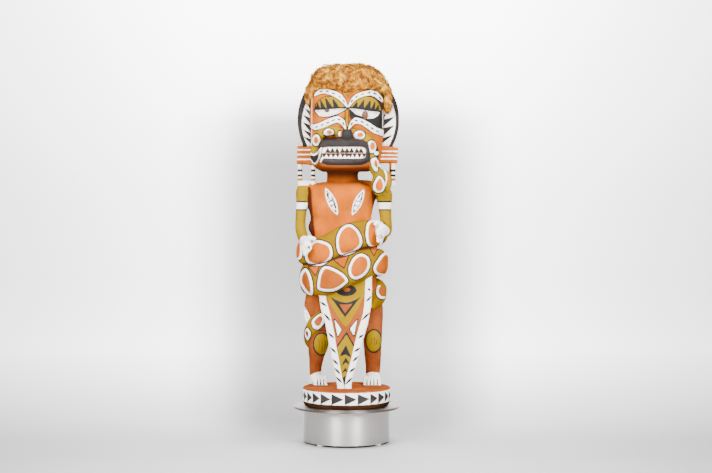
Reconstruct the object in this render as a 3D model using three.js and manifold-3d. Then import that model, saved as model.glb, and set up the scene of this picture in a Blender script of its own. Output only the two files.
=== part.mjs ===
// A carved and painted wooden ancestor figure with a wig of plant fibre, on a round metal stand.
// Millimetres, +Z up. The origin is on the ground under the middle of the stand, and the face looks along -Y.
// Left and right are the viewer's, looking at the face.
import * as THREE from "three";
import { mergeVertices } from "three/addons/utils/BufferGeometryUtils.js";
import Module from "manifold-3d";

const wasm = await Module();
wasm.setup();

// Clearance left between pieces that touch.
const gap = 0.3;

// Metal stand: a spun drum, open underneath, with a wide rim, on rubber pads.
const padRadius = 7;
const padHeight = 4;
const padCount = 4;
const padInset = 1.5;
const padFirstAngle = -40;
const drumRadius = 87.5;
const drumHeight = 70;
const drumWall = 2;
const rimRadius = 107;
const rimThickness = 4.5;

// Round wooden base, one piece with the figure.
const baseRadius = 88;
const baseHeight = 36;
const baseFootHeight = 10;
const baseFootInset = 4;
const baseEdge = 2;

// The figure, from the top of the base to the crown of its head.
const figureHeight = 632;
// Carved details that keep a size of their own.
const toeRadius = 3.3;
const fingerRadius = 3.6;
const eyeDepth = 3;
const toothDepth = 4;

// The figure's stations below are laid out on a height of 632 parts, with z counted from the top of the base.
const PARTS = 632;
const part = figureHeight / PARTS;
const padTop = padHeight;
const standTop = padTop + drumHeight;
const baseBottom = standTop + gap;
const baseTop = baseBottom + baseHeight;

const X_AXIS = new THREE.Vector3(1, 0, 0);
const Y_AXIS = new THREE.Vector3(0, 1, 0);
const Z_AXIS = new THREE.Vector3(0, 0, 1);
const radians = THREE.MathUtils.degToRad;

// A closed geometry as a solid, with its faces turned outwards.
function solid(geometry) {
  const bare = geometry.index ? geometry.toNonIndexed() : geometry.clone();
  const open = new THREE.BufferGeometry().setAttribute("position", bare.getAttribute("position"));
  const merged = mergeVertices(open, 1e-3);
  const points = merged.attributes.position.array;
  const corners = [];
  let volume = 0;
  for (let i = 0; i < merged.index.count; i += 3) {
    const [a, b, c] = [0, 1, 2].map((j) => merged.index.getX(i + j));
    if (a === b || b === c || c === a) continue;
    corners.push(a, b, c);
    const [p, q, r] = [a, b, c].map((v) => new THREE.Vector3().fromArray(points, v * 3));
    volume += p.dot(q.cross(r));
  }
  if (volume < 0) corners.reverse();
  const mesh = new wasm.Mesh({ numProp: 3, vertProperties: points, triVerts: new Uint32Array(corners) });
  return new wasm.Manifold(mesh);
}

const level = { axis: Y_AXIS, along: Z_AXIS };
const join = (pieces) => pieces.reduce((whole, piece) => whole.add(piece));

// Smooth values between rows of numbers, at place t from 0 to 1.
function between(rows, t) {
  const place = Math.min(Math.max(t, 0), 1) * (rows.length - 1);
  const i = Math.min(Math.floor(place), rows.length - 2);
  const f = place - i;
  const row = (j) => rows[Math.min(Math.max(j, 0), rows.length - 1)];
  return rows[i].map((_, n) => {
    const [a, b, c, d] = [row(i - 1)[n], row(i)[n], row(i + 1)[n], row(i + 2)[n]];
    const bend = 2 * a - 5 * b + 4 * c - d + f * (3 * b - a - 3 * c + d);
    return b + 0.5 * f * (c - a + f * bend);
  });
}

// A rounded solid along stations [x, y, z, half width, half height, power]: the half width lies across
// the path and the reference axis, and a power over 2 makes the section boxy. The sections lie square to
// the path, or to one direction of their own.
function sweep(stations, options = {}) {
  const { axis = Z_AXIS, along = null, sides = 12, steps = 1, domes = 0, grow = 0, unit = part } = options;
  const rows = stations.map((row) => (row.length < 6 ? [...row, 2] : row));
  const count = (rows.length - 1) * steps;
  const line = [...Array(count + 1).keys()].map((i) => between(rows, i / count));
  const at = (row) => new THREE.Vector3(row[0], row[1], row[2]).multiplyScalar(unit);
  const rings = line.map((row, i) => {
    const path = at(line[Math.min(i + 1, count)]).sub(at(line[Math.max(i - 1, 0)]));
    const ahead = (along ?? path).clone().normalize();
    const across = ahead.clone().cross(axis).normalize();
    const up = across.clone().cross(ahead);
    return { middle: at(row), ahead, across, up, a: row[3] * unit + grow, b: row[4] * unit + grow, power: row[5] };
  });
  const cap = (ring, sign) =>
    [...Array(domes).keys()].map((i) => {
      const angle = ((i + 1) / (domes + 1)) * (Math.PI / 2);
      const reach = Math.min(ring.a, ring.b) * Math.sin(angle) * sign;
      const middle = ring.middle.clone().addScaledVector(ring.ahead, reach);
      return { ...ring, middle, a: ring.a * Math.cos(angle), b: ring.b * Math.cos(angle) };
    });
  const all = [...cap(rings[0], -1).reverse(), ...rings, ...cap(rings[count], 1)];
  const points = [];
  for (const ring of all) {
    for (let j = 0; j < sides; j += 1) {
      const angle = (2 * Math.PI * j) / sides;
      const [c, s] = [Math.cos(angle), Math.sin(angle)];
      const scale = (Math.abs(c) ** ring.power + Math.abs(s) ** ring.power) ** (-1 / ring.power);
      const point = ring.middle.clone().addScaledVector(ring.across, ring.a * c * scale);
      points.push(point.addScaledVector(ring.up, ring.b * s * scale));
    }
  }
  const reachOf = (ring) => (domes ? Math.min(ring.a, ring.b) : grow);
  const [first, last] = [rings[0], rings[count]];
  points.push(first.middle.clone().addScaledVector(first.ahead, -reachOf(first)));
  points.push(last.middle.clone().addScaledVector(last.ahead, reachOf(last)));
  const corners = [];
  for (let i = 0; i + 1 < all.length; i += 1) {
    for (let j = 0; j < sides; j += 1) {
      const [p, q] = [i * sides + j, i * sides + ((j + 1) % sides)];
      corners.push(p, q, q + sides, p, q + sides, p + sides);
    }
  }
  const end = (all.length - 1) * sides;
  for (let j = 0; j < sides; j += 1) {
    const next = (j + 1) % sides;
    corners.push(points.length - 2, next, j);
    corners.push(points.length - 1, end + j, end + next);
  }
  return solid(new THREE.BufferGeometry().setFromPoints(points).setIndex(corners));
}

// A rounded lump: middle [x, y, z] and half sizes [x, y, z], all in parts.
function lump(middle, half, grow = 0) {
  const ball = new THREE.SphereGeometry(1, 10, 6);
  ball.scale(...half.map((size) => size * part + grow));
  ball.translate(...middle.map((place) => place * part));
  return solid(ball);
}

// A turned solid from [radius, height] points that start and end on the axis or close on themselves.
function turned(profile, segments = 40) {
  const points = profile.map(([radius, height]) => new THREE.Vector2(radius, height));
  return solid(new THREE.LatheGeometry(points, segments).rotateX(Math.PI / 2));
}

// Head, as [x, y, z, half width, half depth, boxiness] from chin to crown.
const HEAD = [
  [-3, 12, 431, 46, 42, 2.6],
  [-1, 9, 441, 62, 59, 3.1],
  [0, 8, 470, 69, 64, 3.4],
  [0.5, 8, 520, 71.5, 66, 3.5],
  [0.5, 8, 575, 71.5, 66, 3.3],
  [1, 9, 606, 66, 61, 2.9],
  [1, 10, 624, 51, 48, 2.5],
  [1, 10, 632, 30, 28, 2.2],
];

// Y of the front of the head at a place on the face, in parts.
function faceAt(x, z) {
  const rows = HEAD.map((row) => row[2]);
  let i = rows.findIndex((height) => height > z) - 1;
  if (i < 0) i = rows.length - 2;
  const row = between(HEAD, (i + (z - rows[i]) / (rows[i + 1] - rows[i])) / (HEAD.length - 1));
  const share = Math.min(Math.abs((x - row[0]) / row[3]), 0.98);
  return row[1] - row[4] * (1 - share ** row[5]) ** (1 / row[5]);
}

const head = (grow = 0) => sweep(HEAD, { ...level, sides: 26, grow });

// Raised bands of the brow and cheek, as places [x, z] on the face, from the nose outwards.
const BROW = [
  [4, 552],
  [18, 570],
  [36, 585],
  [52, 585],
  [64, 574],
];
const CHEEK = [
  [8, 522],
  [18, 532],
  [36, 524],
  [52, 511],
  [66, 506],
];
function ridge(places, side, grow = 0) {
  const rows = places.map(([x, z]) => [side * x, faceAt(side * x, z) + 1, z, 5, 3]);
  return sweep(rows, { axis: Y_AXIS, sides: 6, domes: 1, grow });
}

// Narrow ridge of the nose, widening to a blunt tip over the lip.
const NOSE = [
  [2, -57, 552, 3, 3],
  [2, -62, 532, 5, 7],
  [1.5, -68, 512, 9, 11],
  [1, -71, 500, 12.5, 14],
  [1, -66, 489, 10, 11],
];
const nose = () => sweep(NOSE, { axis: Y_AXIS, sides: 8, domes: 1 });
const nostril = (side) => lump([1 + side * 14, -62, 501], [9, 10, 10]);

// Muzzle with bared teeth, standing out from the lower face, and the chin under it.
const MUZZLE = [
  [-4.5, -30, 467, 50, 26, 5],
  [-4.5, -66, 467, 49.5, 25.5, 5],
  [-4.5, -79, 467, 47, 23, 5],
  [-4.5, -83, 467, 43, 19, 5],
];
const CHIN = [
  [-4, -20, 443, 51, 11, 4],
  [-4, -60, 444, 50, 11, 4],
  [-4, -72, 447, 45, 9, 4],
];
const TEETH = { middle: -4.5, halfWidth: 43, low: 455, high: 477 };
const LIP_FRONT = 83;
function teethSlot() {
  const slot = new THREE.BoxGeometry(2 * TEETH.halfWidth * part, 40, (TEETH.high - TEETH.low) * part);
  const middle = ((TEETH.high + TEETH.low) / 2) * part;
  return solid(slot.translate(TEETH.middle * part, -LIP_FRONT * part + toothDepth - 20, middle));
}

// Almond of each eye, below its lid: places [x, z] of the corners and the lower edge.
const EYE = [
  [5, 548],
  [20, 540],
  [38, 531],
  [52, 530],
  [64, 543],
  [66, 549],
];
// Place [x, z] on the face that the depth of the eyes is counted from.
const EYE_FRONT = [20, 545];
function eyeCut(side) {
  const shape = new THREE.Shape(EYE.map(([x, z]) => new THREE.Vector2(side * x * part, z * part)));
  const front = faceAt(...EYE_FRONT) * part;
  const cut = new THREE.ExtrudeGeometry(shape, { depth: 40, bevelEnabled: false });
  return solid(cut.rotateX(Math.PI / 2).translate(0, front + eyeDepth, 0));
}

// What is left of the shell and resin in the eyes, set in a pocket of its own shape.
const EYE_LEFT = { middle: [-38.5, -56, 549.5], half: [5, 5, 3.5] };
const EYE_RIGHT = { middle: [36.5, -55, 540.5], half: [6.5, 6, 9] };
const inlay = ({ middle, half }, grow = 0) => lump(middle, half, grow);

// Tall ear plates behind the face, half an oval each, as wide as the reach from the middle.
const EAR = { middle: 534, reachLeft: 97.5, reachRight: 105, rise: 108, low: 480, high: 606, root: 52 };
const EAR_FRONT = -6;
const earThickness = 15;
function ear(side, grow = 0) {
  const reach = (side < 0 ? EAR.reachLeft : EAR.reachRight) * part + grow;
  const most = Math.acos(Math.min((EAR.root * part) / reach, 1));
  const mostShare = Math.sin(most);
  const turnAt = (z) => {
    const share = THREE.MathUtils.clamp((z - EAR.middle) / EAR.rise, -mostShare, mostShare);
    return Math.asin(share);
  };
  const [from, to] = [turnAt(EAR.low), turnAt(EAR.high)];
  const heightAt = (angle) => (EAR.middle + EAR.rise * Math.sin(angle)) * part + grow * Math.sign(angle);
  const outline = [new THREE.Vector2(side * EAR.root * part, heightAt(to))];
  outline.push(new THREE.Vector2(side * EAR.root * part, heightAt(from)));
  const count = 11;
  for (let i = 0; i <= count; i += 1) {
    const angle = from + ((to - from) * i) / count;
    outline.push(new THREE.Vector2(side * reach * Math.cos(angle), heightAt(angle)));
  }
  const depth = earThickness + 2 * grow;
  const plate = new THREE.ExtrudeGeometry(new THREE.Shape(outline), { depth, bevelEnabled: false });
  return solid(plate.rotateX(Math.PI / 2).translate(0, EAR_FRONT * part + earThickness + grow, 0));
}

// Striped bars under the ears, and the pendants [x, top, foot, radius] that hang from them to the shoulders.
const EAR_BARS = [
  [[-55, 6, 462.5, 14, 20.5, 7], [-99, 6, 464.5, 13, 17.5, 7]],
  [[55, 6, 466, 14, 18.5, 7], [103, 6, 463.5, 13, 15.5, 7]],
];
const PENDANTS = [
  [-93, 450, 404, 5],
  [-66.8, 448, 406, 5],
  [64.5, 452, 404, 4.4],
  [92, 452, 402, 6.5],
];
// Y of the middle of the pendants.
const PENDANT_MIDDLE = 4;
function pendant([x, high, low, radius]) {
  const rows = [high, low].map((z) => [x, PENDANT_MIDDLE, z, radius, radius]);
  return sweep(rows, { axis: Y_AXIS, sides: 8 });
}

// Snakes that come out of the nostrils: [x, y, z, half width, half height].
const LEFT_SNAKE = [
  [-10, -66, 503, 8, 8],
  [-20, -66, 509, 9, 9],
  [-34, -64, 509, 9, 10],
  [-48, -61, 505, 9, 10],
  [-58, -55, 494, 9, 10],
  [-61, -50, 480, 9, 10],
  [-62, -46, 466, 9, 11],
  [-62, -42, 453, 8, 9],
  [-61, -38, 445, 4, 4],
];
const RIGHT_SNAKE = [
  [12, -66, 504, 9, 9],
  [24, -66, 502, 10, 12],
  [38, -66, 494, 10, 12],
  [48, -66, 482, 10, 12],
  [53, -63, 468, 10, 12],
  [52, -59, 452, 10, 13],
  [54, -54, 438, 10, 12],
  [62, -48, 425, 11, 11],
  [64, -44, 412, 14, 14],
  [64, -40, 396, 15, 16],
  [64, -38, 390, 10, 8],
];
const RIGHT_SNAKE_LOOP = [
  [58, -48, 427, 6, 6],
  [68, -46, 428, 6.5, 6.5],
  [79, -42, 424, 7, 7],
  [84, -38, 408, 6, 7],
  [80, -34, 394, 6, 6],
];

// Trunk, from the fork of the legs to the shoulders, and the neck.
const TRUNK = [
  [-3, 6, 172, 48, 32, 2.5],
  [-3, 5, 186, 61, 40, 2.5],
  [-4, 6, 215, 64, 40, 2.4],
  [-7, 9, 290, 60, 38, 2.4],
  [-13, 10, 318, 64, 40, 2.6],
  [-11, 10, 338, 61, 40, 2.7],
  [-11.5, 10, 365, 66, 41, 2.8],
  [-6.5, 10, 392, 68.5, 39, 3],
  [-9, 11, 404, 58, 35, 3],
  [-8, 12, 410, 40, 28, 2.5],
];
const NECK = [
  [-8, 12, 402, 32.5, 28],
  [-8, 12, 420, 31.5, 28],
  [-7, 12, 438, 32, 28],
];
const SHOULDERS = [
  [-78, 8, 396, 11, 12],
  [-50, 10, 396, 16, 13],
  [20, 10, 400, 17, 14],
  [44, 10, 401, 16, 13],
  [72, 8, 392, 12, 14],
];

// Arms down to the hands, as [x, y, z, half depth, half width].
const LEFT_ARM = [
  [-82, 8, 404, 11, 12],
  [-87.5, 7, 390, 14, 13.5],
  [-89, 6, 366, 14, 12],
  [-91.5, 5, 342, 13, 10.5],
  [-92, 0, 320, 12, 10.5],
  [-88, -16, 303, 11, 10.5],
  [-83, -36, 293, 10.5, 10],
  [-79, -56, 288, 10, 10],
];
const RIGHT_ARM = [
  [75, 8, 398, 11, 12],
  [76, 7, 384, 14, 16],
  [76.5, 6, 362, 14, 14],
  [78.5, 6, 340, 12.5, 12],
  [80, 3, 320, 12, 11.5],
  [79, -12, 312, 11.5, 11],
  [75, -34, 313, 11, 11],
  [69, -54, 317, 10.5, 11],
];
const LEFT_HAND = { middle: [-78, -62, 287], half: [9, 12, 14] };
const RIGHT_HAND = { middle: [66.5, -62, 315], half: [8.5, 12, 17] };
const THUMBS = [
  [[-80, -66, 297, 4.5, 4.5], [-72, -73, 300, 5, 5], [-63, -76, 298, 4, 4]],
  [[66, -66, 328, 4.5, 4.5], [60, -74, 330, 5, 5], [56, -78, 327, 4, 4]],
];
// First and last root and tip [x, y, z] of each hand's four fingers.
const FINGERS = [
  { roots: [[-73, -70, 291], [-85, -64, 284]], tips: [[-70.5, -77, 280], [-81, -74, 268]] },
  { roots: [[73, -68, 322], [72, -64, 303]], tips: [[60.5, -78, 314], [62, -75, 294]] },
];
const FINGER_COUNT = 4;
function fingers({ roots, tips }) {
  return [...Array(FINGER_COUNT).keys()].map((i) => {
    const share = i / (FINGER_COUNT - 1);
    const mix = ([first, last]) => first.map((value, n) => (value + (last[n] - value) * share) * part);
    const rows = [mix(roots), mix(tips)].map((place) => [...place, fingerRadius, fingerRadius]);
    return sweep(rows, { axis: X_AXIS, sides: 6, domes: 1, unit: 1 });
  });
}

// Legs, bent a little at the knee, as [x, y, z, half width, half depth] from ankle to hip.
const LEFT_LEG = [
  [-63, 42, 4, 12, 14],
  [-63, 39, 28, 12, 13.5],
  [-60.5, 29, 54, 15, 17],
  [-57, 15, 78, 20, 21],
  [-55, 7, 104, 22, 24],
  [-56, 8, 135, 23.5, 26],
  [-58, 12, 165, 27, 30],
  [-50, 14, 205, 26, 31],
];
const RIGHT_LEG = [
  [53, 42, 4, 14, 14],
  [53.5, 39, 28, 14.5, 13.5],
  [53.5, 29, 54, 16.5, 17],
  [52.5, 15, 78, 18, 20],
  [52, 7, 104, 19.5, 24],
  [51, 8, 135, 22, 26],
  [48, 12, 165, 24.5, 30],
  [40, 14, 205, 24, 31],
];
// Low ridge down the outside of the left thigh.
const THIGH_FIN = [
  [-80, -4, 160, 5, 5],
  [-79, -6, 148, 7, 6],
  [-76, -10, 136, 7, 6],
  [-74, -12, 126, 5, 5],
];
const FEET = [
  [[-64, 60, 8, 10, 9], [-62, 44, 12, 12, 13], [-57, 30, 9, 14, 10], [-54, 23, 5, 13, 6]],
  [[54, 60, 8, 11, 9], [53, 44, 12, 13, 13], [51, 30, 9, 16, 10], [50, 23, 5, 15, 6]],
];
const TOES = { root: 33, knuckle: 22, tip: 17.5 };
const LEFT_TOES = { count: 4, middle: -52, spread: 6.3 };
const RIGHT_TOES = { count: 5, middle: 51.5, spread: 7.1 };
function toes({ count, middle, spread }) {
  return [...Array(count).keys()].map((i) => {
    const x = (middle + (i - (count - 1) / 2) * spread) * part;
    const rows = [[TOES.root, 15], [TOES.knuckle, 10], [TOES.tip, 3]];
    const line = rows.map(([y, z]) => [x, y * part, z * part, toeRadius, toeRadius]);
    return sweep(line, { axis: X_AXIS, sides: 6, unit: 1 });
  });
}

// Tapering apron between the legs, from the base up to the trunk.
const APRON = [
  [-4.2, -35, -1, 13.4, 7, 7],
  [-4.7, -36, 20, 16.5, 7, 7],
  [-3.2, -37.5, 50, 24, 7, 7],
  [-2, -40, 90, 32.5, 7, 7],
  [0, -42, 130, 42, 7, 7],
  [-1.7, -43, 170, 50.7, 8, 7],
  [-2, -44, 234, 52, 9, 7],
];

// The great snake, wound about the trunk from its tail on the right thigh, one station every eighth of a turn.
const COIL = { x: -7.5, y: -3, reachX: 68.5, reachY: 57, start: -300, step: 45, boxy: 2.5 };
// Each station: [height, half thickness, half height, share of the reach].
const COIL_STATIONS = [
  [163, 5, 7, 1],
  [188, 20, 24, 1.04],
  [198, 20, 25, 1],
  [205, 22, 27, 1],
  [212, 22, 30, 0.97],
  [218, 22, 32, 0.95],
  [220, 22, 32, 1],
  [242, 22, 31, 1],
  [253, 21, 28, 1],
  [247, 22, 27, 1],
  [252, 22, 27, 1],
  [258, 22, 27, 1],
  [266, 22, 27, 1.02],
  [271, 22, 28, 1.02],
  [276, 22, 28, 1],
  [302, 22, 28, 1],
  [309, 21, 26, 1],
  [307, 20, 25, 1],
  [310, 18, 23, 1],
  [314, 17, 23, 1],
  [314, 9, 10, 0.9],
];
function coil() {
  const rows = COIL_STATIONS.map(([z, thick, high, share], i) => {
    const turn = radians(COIL.start + COIL.step * i);
    const [x, y] = [COIL.reachX * Math.sin(turn) * share, COIL.reachY * Math.cos(turn) * share];
    return [COIL.x + x, COIL.y - y, z, thick, high, COIL.boxy];
  });
  return sweep(rows, { sides: 10, steps: 2, domes: 1 });
}

// Small snake about the left thigh.
const LEG_SNAKE = [
  [-32, -22, 152, 9, 10],
  [-46, -24, 142, 10, 14],
  [-59, -22, 131, 10, 15],
  [-71, -13, 118, 10, 14],
  [-77, 2, 105, 9, 13],
  [-77, 18, 92, 8, 11],
  [-70, 32, 78, 6, 8],
  [-62, 38, 68, 4, 5],
];

// Wig of plant fibre, thick over the crown, with a lock before each ear and a peak over the nose:
// sections [x, y, z, half width, half depth, boxiness].
const WIG = [
  [2, 12, 538, 78, 76, 2.7],
  [3, 11, 575, 81, 78, 2.7],
  [3.5, 10, 592, 81.5, 78, 2.7],
  [3, 9, 607, 80, 75, 2.7],
  [1.5, 9, 620, 74, 69, 2.6],
  [1, 9, 632, 65, 61, 2.5],
  [2, 9, 641, 53, 49, 2.4],
  [2, 9, 645, 36, 33, 2.3],
];
const WIG_LOW_FRONT = 591;
const WIG_LOW_BACK = 540;
const WIG_LEFT_LOCK = { middle: [-76, -14, 584], half: [10, 15, 24] };
const WIG_RIGHT_LOCK = { middle: [82, -16, 576], half: [12, 16, 34] };
const WIG_PEAK = { middle: [2, -60, 592], half: [13, 9, 16] };
function wig() {
  const cap = sweep(WIG, { ...level, sides: 22 });
  const reach = 300;
  const front = new THREE.BoxGeometry(reach, reach, reach);
  front.translate(0, -reach / 2 + EAR_FRONT * part + earThickness / 2, WIG_LOW_FRONT * part - reach / 2);
  const under = new THREE.BoxGeometry(reach, reach, reach);
  under.translate(0, 0, WIG_LOW_BACK * part - reach / 2);
  const locks = [WIG_LEFT_LOCK, WIG_RIGHT_LOCK, WIG_PEAK].map(({ middle, half }) => lump(middle, half));
  const mass = join([cap.subtract(solid(front)), ...locks]);
  const held = join([head(gap), ear(-1, gap), ear(1, gap), ridge(BROW, -1, gap), ridge(BROW, 1, gap)]);
  const whole = mass.subtract(solid(under)).subtract(held);
  return whole.decompose().reduce((most, piece) => (piece.volume() > most.volume() ? piece : most));
}
// Round base, with a dark foot set in a little under the painted band.
function base() {
  const foot = baseBottom + baseFootHeight;
  return turned([
    [0, baseBottom],
    [baseRadius - baseFootInset, baseBottom],
    [baseRadius - baseEdge, foot - baseEdge],
    [baseRadius, foot],
    [baseRadius, baseTop - baseEdge],
    [baseRadius - baseEdge, baseTop],
    [0, baseTop],
  ]);
}

function carvedFigure() {
  const upright = { axis: Y_AXIS, sides: 10 };
  const body = join([
    sweep(TRUNK, { ...level, sides: 16 }),
    sweep(NECK, { ...level, sides: 14 }),
    sweep(SHOULDERS, { sides: 10, domes: 1 }),
    sweep(LEFT_LEG, upright),
    sweep(RIGHT_LEG, upright),
    ...FEET.map((rows) => sweep(rows, { sides: 10, domes: 1 })),
    ...toes(LEFT_TOES),
    ...toes(RIGHT_TOES),
    sweep(THIGH_FIN, { axis: Y_AXIS, sides: 6, domes: 1 }),
    sweep(APRON, { axis: Y_AXIS, sides: 16 }),
  ]);
  const arms = join([
    sweep(LEFT_ARM, { axis: X_AXIS, sides: 10, domes: 1 }),
    sweep(RIGHT_ARM, { axis: X_AXIS, sides: 10, domes: 1 }),
    lump(LEFT_HAND.middle, LEFT_HAND.half),
    lump(RIGHT_HAND.middle, RIGHT_HAND.half),
    ...THUMBS.map((rows) => sweep(rows, { sides: 6, domes: 1 })),
    ...FINGERS.flatMap(fingers),
  ]);
  const face = join([
    head(),
    ...[-1, 1].flatMap((side) => [ridge(BROW, side), ridge(CHEEK, side), nostril(side), ear(side)]),
    nose(),
    sweep(MUZZLE, { sides: 20 }),
    sweep(CHIN, { sides: 16 }),
    ...EAR_BARS.map((rows) => sweep(rows, { sides: 12 })),
    ...PENDANTS.map(pendant),
  ])
    .subtract(teethSlot())
    .subtract(eyeCut(-1))
    .subtract(eyeCut(1));
  const snakes = join([
    coil(),
    sweep(LEFT_SNAKE, { axis: Y_AXIS, sides: 8, domes: 1 }),
    sweep(RIGHT_SNAKE, { axis: Y_AXIS, sides: 8, domes: 1 }),
    sweep(RIGHT_SNAKE_LOOP, { axis: Y_AXIS, sides: 6, domes: 1 }),
    sweep(LEG_SNAKE, { sides: 8, domes: 1 }),
  ]);
  const figure = join([body, arms, face, snakes]).translate([0, 0, baseTop]);
  const pockets = join([inlay(EYE_LEFT, gap), inlay(EYE_RIGHT, gap)]).translate([0, 0, baseTop]);
  return figure.add(base()).subtract(pockets);
}

// Drum and rim in one spun piece. The pads touch its lower edge.
function stand() {
  const bottom = padTop;
  const half = rimThickness / 2;
  const rimTurns = 4;
  const rim = [...Array(rimTurns + 1).keys()].map((i) => {
    const angle = Math.PI * (i / rimTurns - 0.5);
    return [rimRadius - half + half * Math.cos(angle), standTop - half + half * Math.sin(angle)];
  });
  return turned([
    [drumRadius - drumWall, bottom],
    [drumRadius, bottom],
    [drumRadius, standTop - rimThickness],
    ...rim,
    [0, standTop],
    [0, standTop - drumWall],
    [drumRadius - drumWall, standTop - drumWall],
    [drumRadius - drumWall, bottom],
  ]);
}

function pad(index) {
  const turn = radians(padFirstAngle + (360 / padCount) * index);
  const away = drumRadius - padInset - padRadius;
  const top = padTop - gap;
  const bevel = 0.8;
  const profile = [[0, 0], [padRadius - bevel, 0], [padRadius, bevel], [padRadius, top], [0, top]];
  return turned(profile, 12).translate([away * Math.sin(turn), -away * Math.cos(turn), 0]);
}

function mesh(name, shape, colour, roughness, metalness = 0) {
  const { vertProperties, triVerts, numProp } = shape.getMesh();
  const points = new Float32Array((vertProperties.length / numProp) * 3);
  for (let i = 0; i < points.length / 3; i += 1) {
    points.set(vertProperties.subarray(i * numProp, i * numProp + 3), i * 3);
  }
  const geometry = new THREE.BufferGeometry().setAttribute("position", new THREE.BufferAttribute(points, 3));
  geometry.setIndex(new THREE.BufferAttribute(triVerts, 1));
  const flat = geometry.toNonIndexed();
  flat.computeVertexNormals();
  const made = new THREE.Mesh(flat, new THREE.MeshStandardMaterial({ color: colour, roughness, metalness }));
  made.name = name;
  return made;
}

const group = new THREE.Group();
group.add(mesh("carved_figure", carvedFigure(), 0xb9653a, 0.6));
group.add(mesh("fibre_wig", wig().translate([0, 0, baseTop]), 0xc99a5f, 0.95));
group.add(mesh("left_eye_resin", inlay(EYE_LEFT).translate([0, 0, baseTop]), 0x4a3420, 0.5));
group.add(mesh("right_eye_shell", inlay(EYE_RIGHT).translate([0, 0, baseTop]), 0xc8a878, 0.4));
group.add(mesh("metal_stand", stand(), 0xc9c9c7, 0.3, 1));
for (let i = 0; i < padCount; i += 1) {
  group.add(mesh(`stand_pad_${i + 1}`, pad(i), 0xd8d8d4, 0.6));
}

export default group;
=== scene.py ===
"""A carved and painted wooden ancestor figure with a wig of plant fibre, on a round metal stand.

The carving is built from swept forms, fused, cut in low relief and painted from the front view.
Lengths are in millimetres until a mesh is made, with z counted from the top of the round wooden base.
"""
import math

import bmesh
import bpy
import numpy as np
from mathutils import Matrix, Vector, noise
from mathutils.bvhtree import BVHTree


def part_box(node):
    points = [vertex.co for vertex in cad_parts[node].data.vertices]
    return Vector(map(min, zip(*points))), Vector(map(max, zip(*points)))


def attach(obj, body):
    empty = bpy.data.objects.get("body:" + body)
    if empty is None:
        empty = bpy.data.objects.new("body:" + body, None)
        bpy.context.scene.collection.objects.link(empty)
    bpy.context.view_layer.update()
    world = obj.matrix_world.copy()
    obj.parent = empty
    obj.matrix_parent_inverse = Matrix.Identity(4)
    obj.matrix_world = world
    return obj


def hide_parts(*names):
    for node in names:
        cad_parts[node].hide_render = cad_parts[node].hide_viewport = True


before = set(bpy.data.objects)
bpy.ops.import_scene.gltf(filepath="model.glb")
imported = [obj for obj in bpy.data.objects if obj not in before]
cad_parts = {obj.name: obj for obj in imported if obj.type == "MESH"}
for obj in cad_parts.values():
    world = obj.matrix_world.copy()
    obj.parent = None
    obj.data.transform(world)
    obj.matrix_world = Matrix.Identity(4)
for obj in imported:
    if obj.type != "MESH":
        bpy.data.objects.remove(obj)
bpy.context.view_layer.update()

bl_info = {
    "name": "Wooden ancestor figure",
    "version": (1, 0, 0),
    "blender": (4, 5, 0),
    "location": "View3D > Sidebar > Figure",
    "description": "Builds the painted carving, its fibre wig and its metal stand around the CAD frame",
    "category": "Object",
}

BODY = "root"
MM = 0.001
ROW_FINE = 4

STAND_LOW, STAND_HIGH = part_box("metal_stand")
DRUM_TOP = STAND_HIGH.z / MM
RIM_RADIUS = STAND_HIGH.x / MM
PAD_TOP = STAND_LOW.z / MM
# How far under the drum's top the rim's painted reflection of the brown wooden base fades out, as [from,
# to].
RIM_REFLECTION_FADE = (3.5, 5)
BASE_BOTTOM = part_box("carved_figure")[0].z / MM
BASE_HEIGHT = 36
BASE_TOP = BASE_BOTTOM + BASE_HEIGHT
BASE_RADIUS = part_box("carved_figure")[1].y / MM
BASE_LIP = 0.9
# The base's slanted foot: how far it rises, how far it tucks in, and the rounding of its edges.
BASE_FOOT = 10
BASE_TUCK = 4
BASE_ROUND = 2.2
# How far the painted front is spared when the mesh is thinned.
FRONT_SHARE = 0.02
FRONT_CARE = 2e-5

X_AXIS = np.array([1.0, 0, 0])
Y_AXIS = np.array([0, 1.0, 0])
Z_AXIS = np.array([0, 0, 1.0])

# The eye that the front view is drawn for: its height, its distance, and how far it looks down.
EYE_HEIGHT = 477
EYE_AWAY = 3000
EYE_DOWN = math.radians(1.253)
SHEET_MIDDLE = 410

# The stage, in metres: where the lamps aim, where the wall stands, and the curve from the floor to it.
AIM = (0, 0, 0.42)
WALL_AT = 3.2
WALL_CURVE = 0.9
WALL_HIGH = 4.5
FLOOR_NEAR = -4.5
FLOOR_WIDE = 6
# The stretch of floor round the stand that has a fine grid, as [near, far] and how far to each side.
FINE_FLOOR = (-0.4, 0.6)
FINE_ACROSS = 0.5
LIT_ACROSS = 2.6
# Where the backdrop's own light fades out: to the sides, towards the camera, and round the drum's foot.
FADE_SIDES = (1.6, 2.6)
FADE_NEAR = (-2.6, -1.6)
FADE_FOOT = (0.0875, 0.1075)
# The softboxes: their turn and rise in degrees, how far off they stand, and their width and height.
SOFTBOX_TURN = 29
SOFTBOX_RISE = 25
SOFTBOX_AWAY = 1.7
SOFTBOX_SIZE = (0.4, 1.2)
FRONT_LIGHT_PLACE = (0, -4.6, 0.9)
FRONT_LIGHT_SIZE = (4, 2.5)
SENSOR_WIDTH = 36
# How bright the floor and the wall show at heights in the front view, as [up, brightness from 0 to 255].
BACKDROP = [(-53, 214), (-27, 212), (3, 213.5), (43, 222), (83, 228), (123, 233), (183, 238.5),
            (323, 237), (483, 239), (683, 244.5), (863, 248)]
# How much the wall dims to the sides: from how far across, over what distance, by how much.
SIDE_FROM = 280
SIDE_OVER = 300
SIDE_FALL = 7.5
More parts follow.
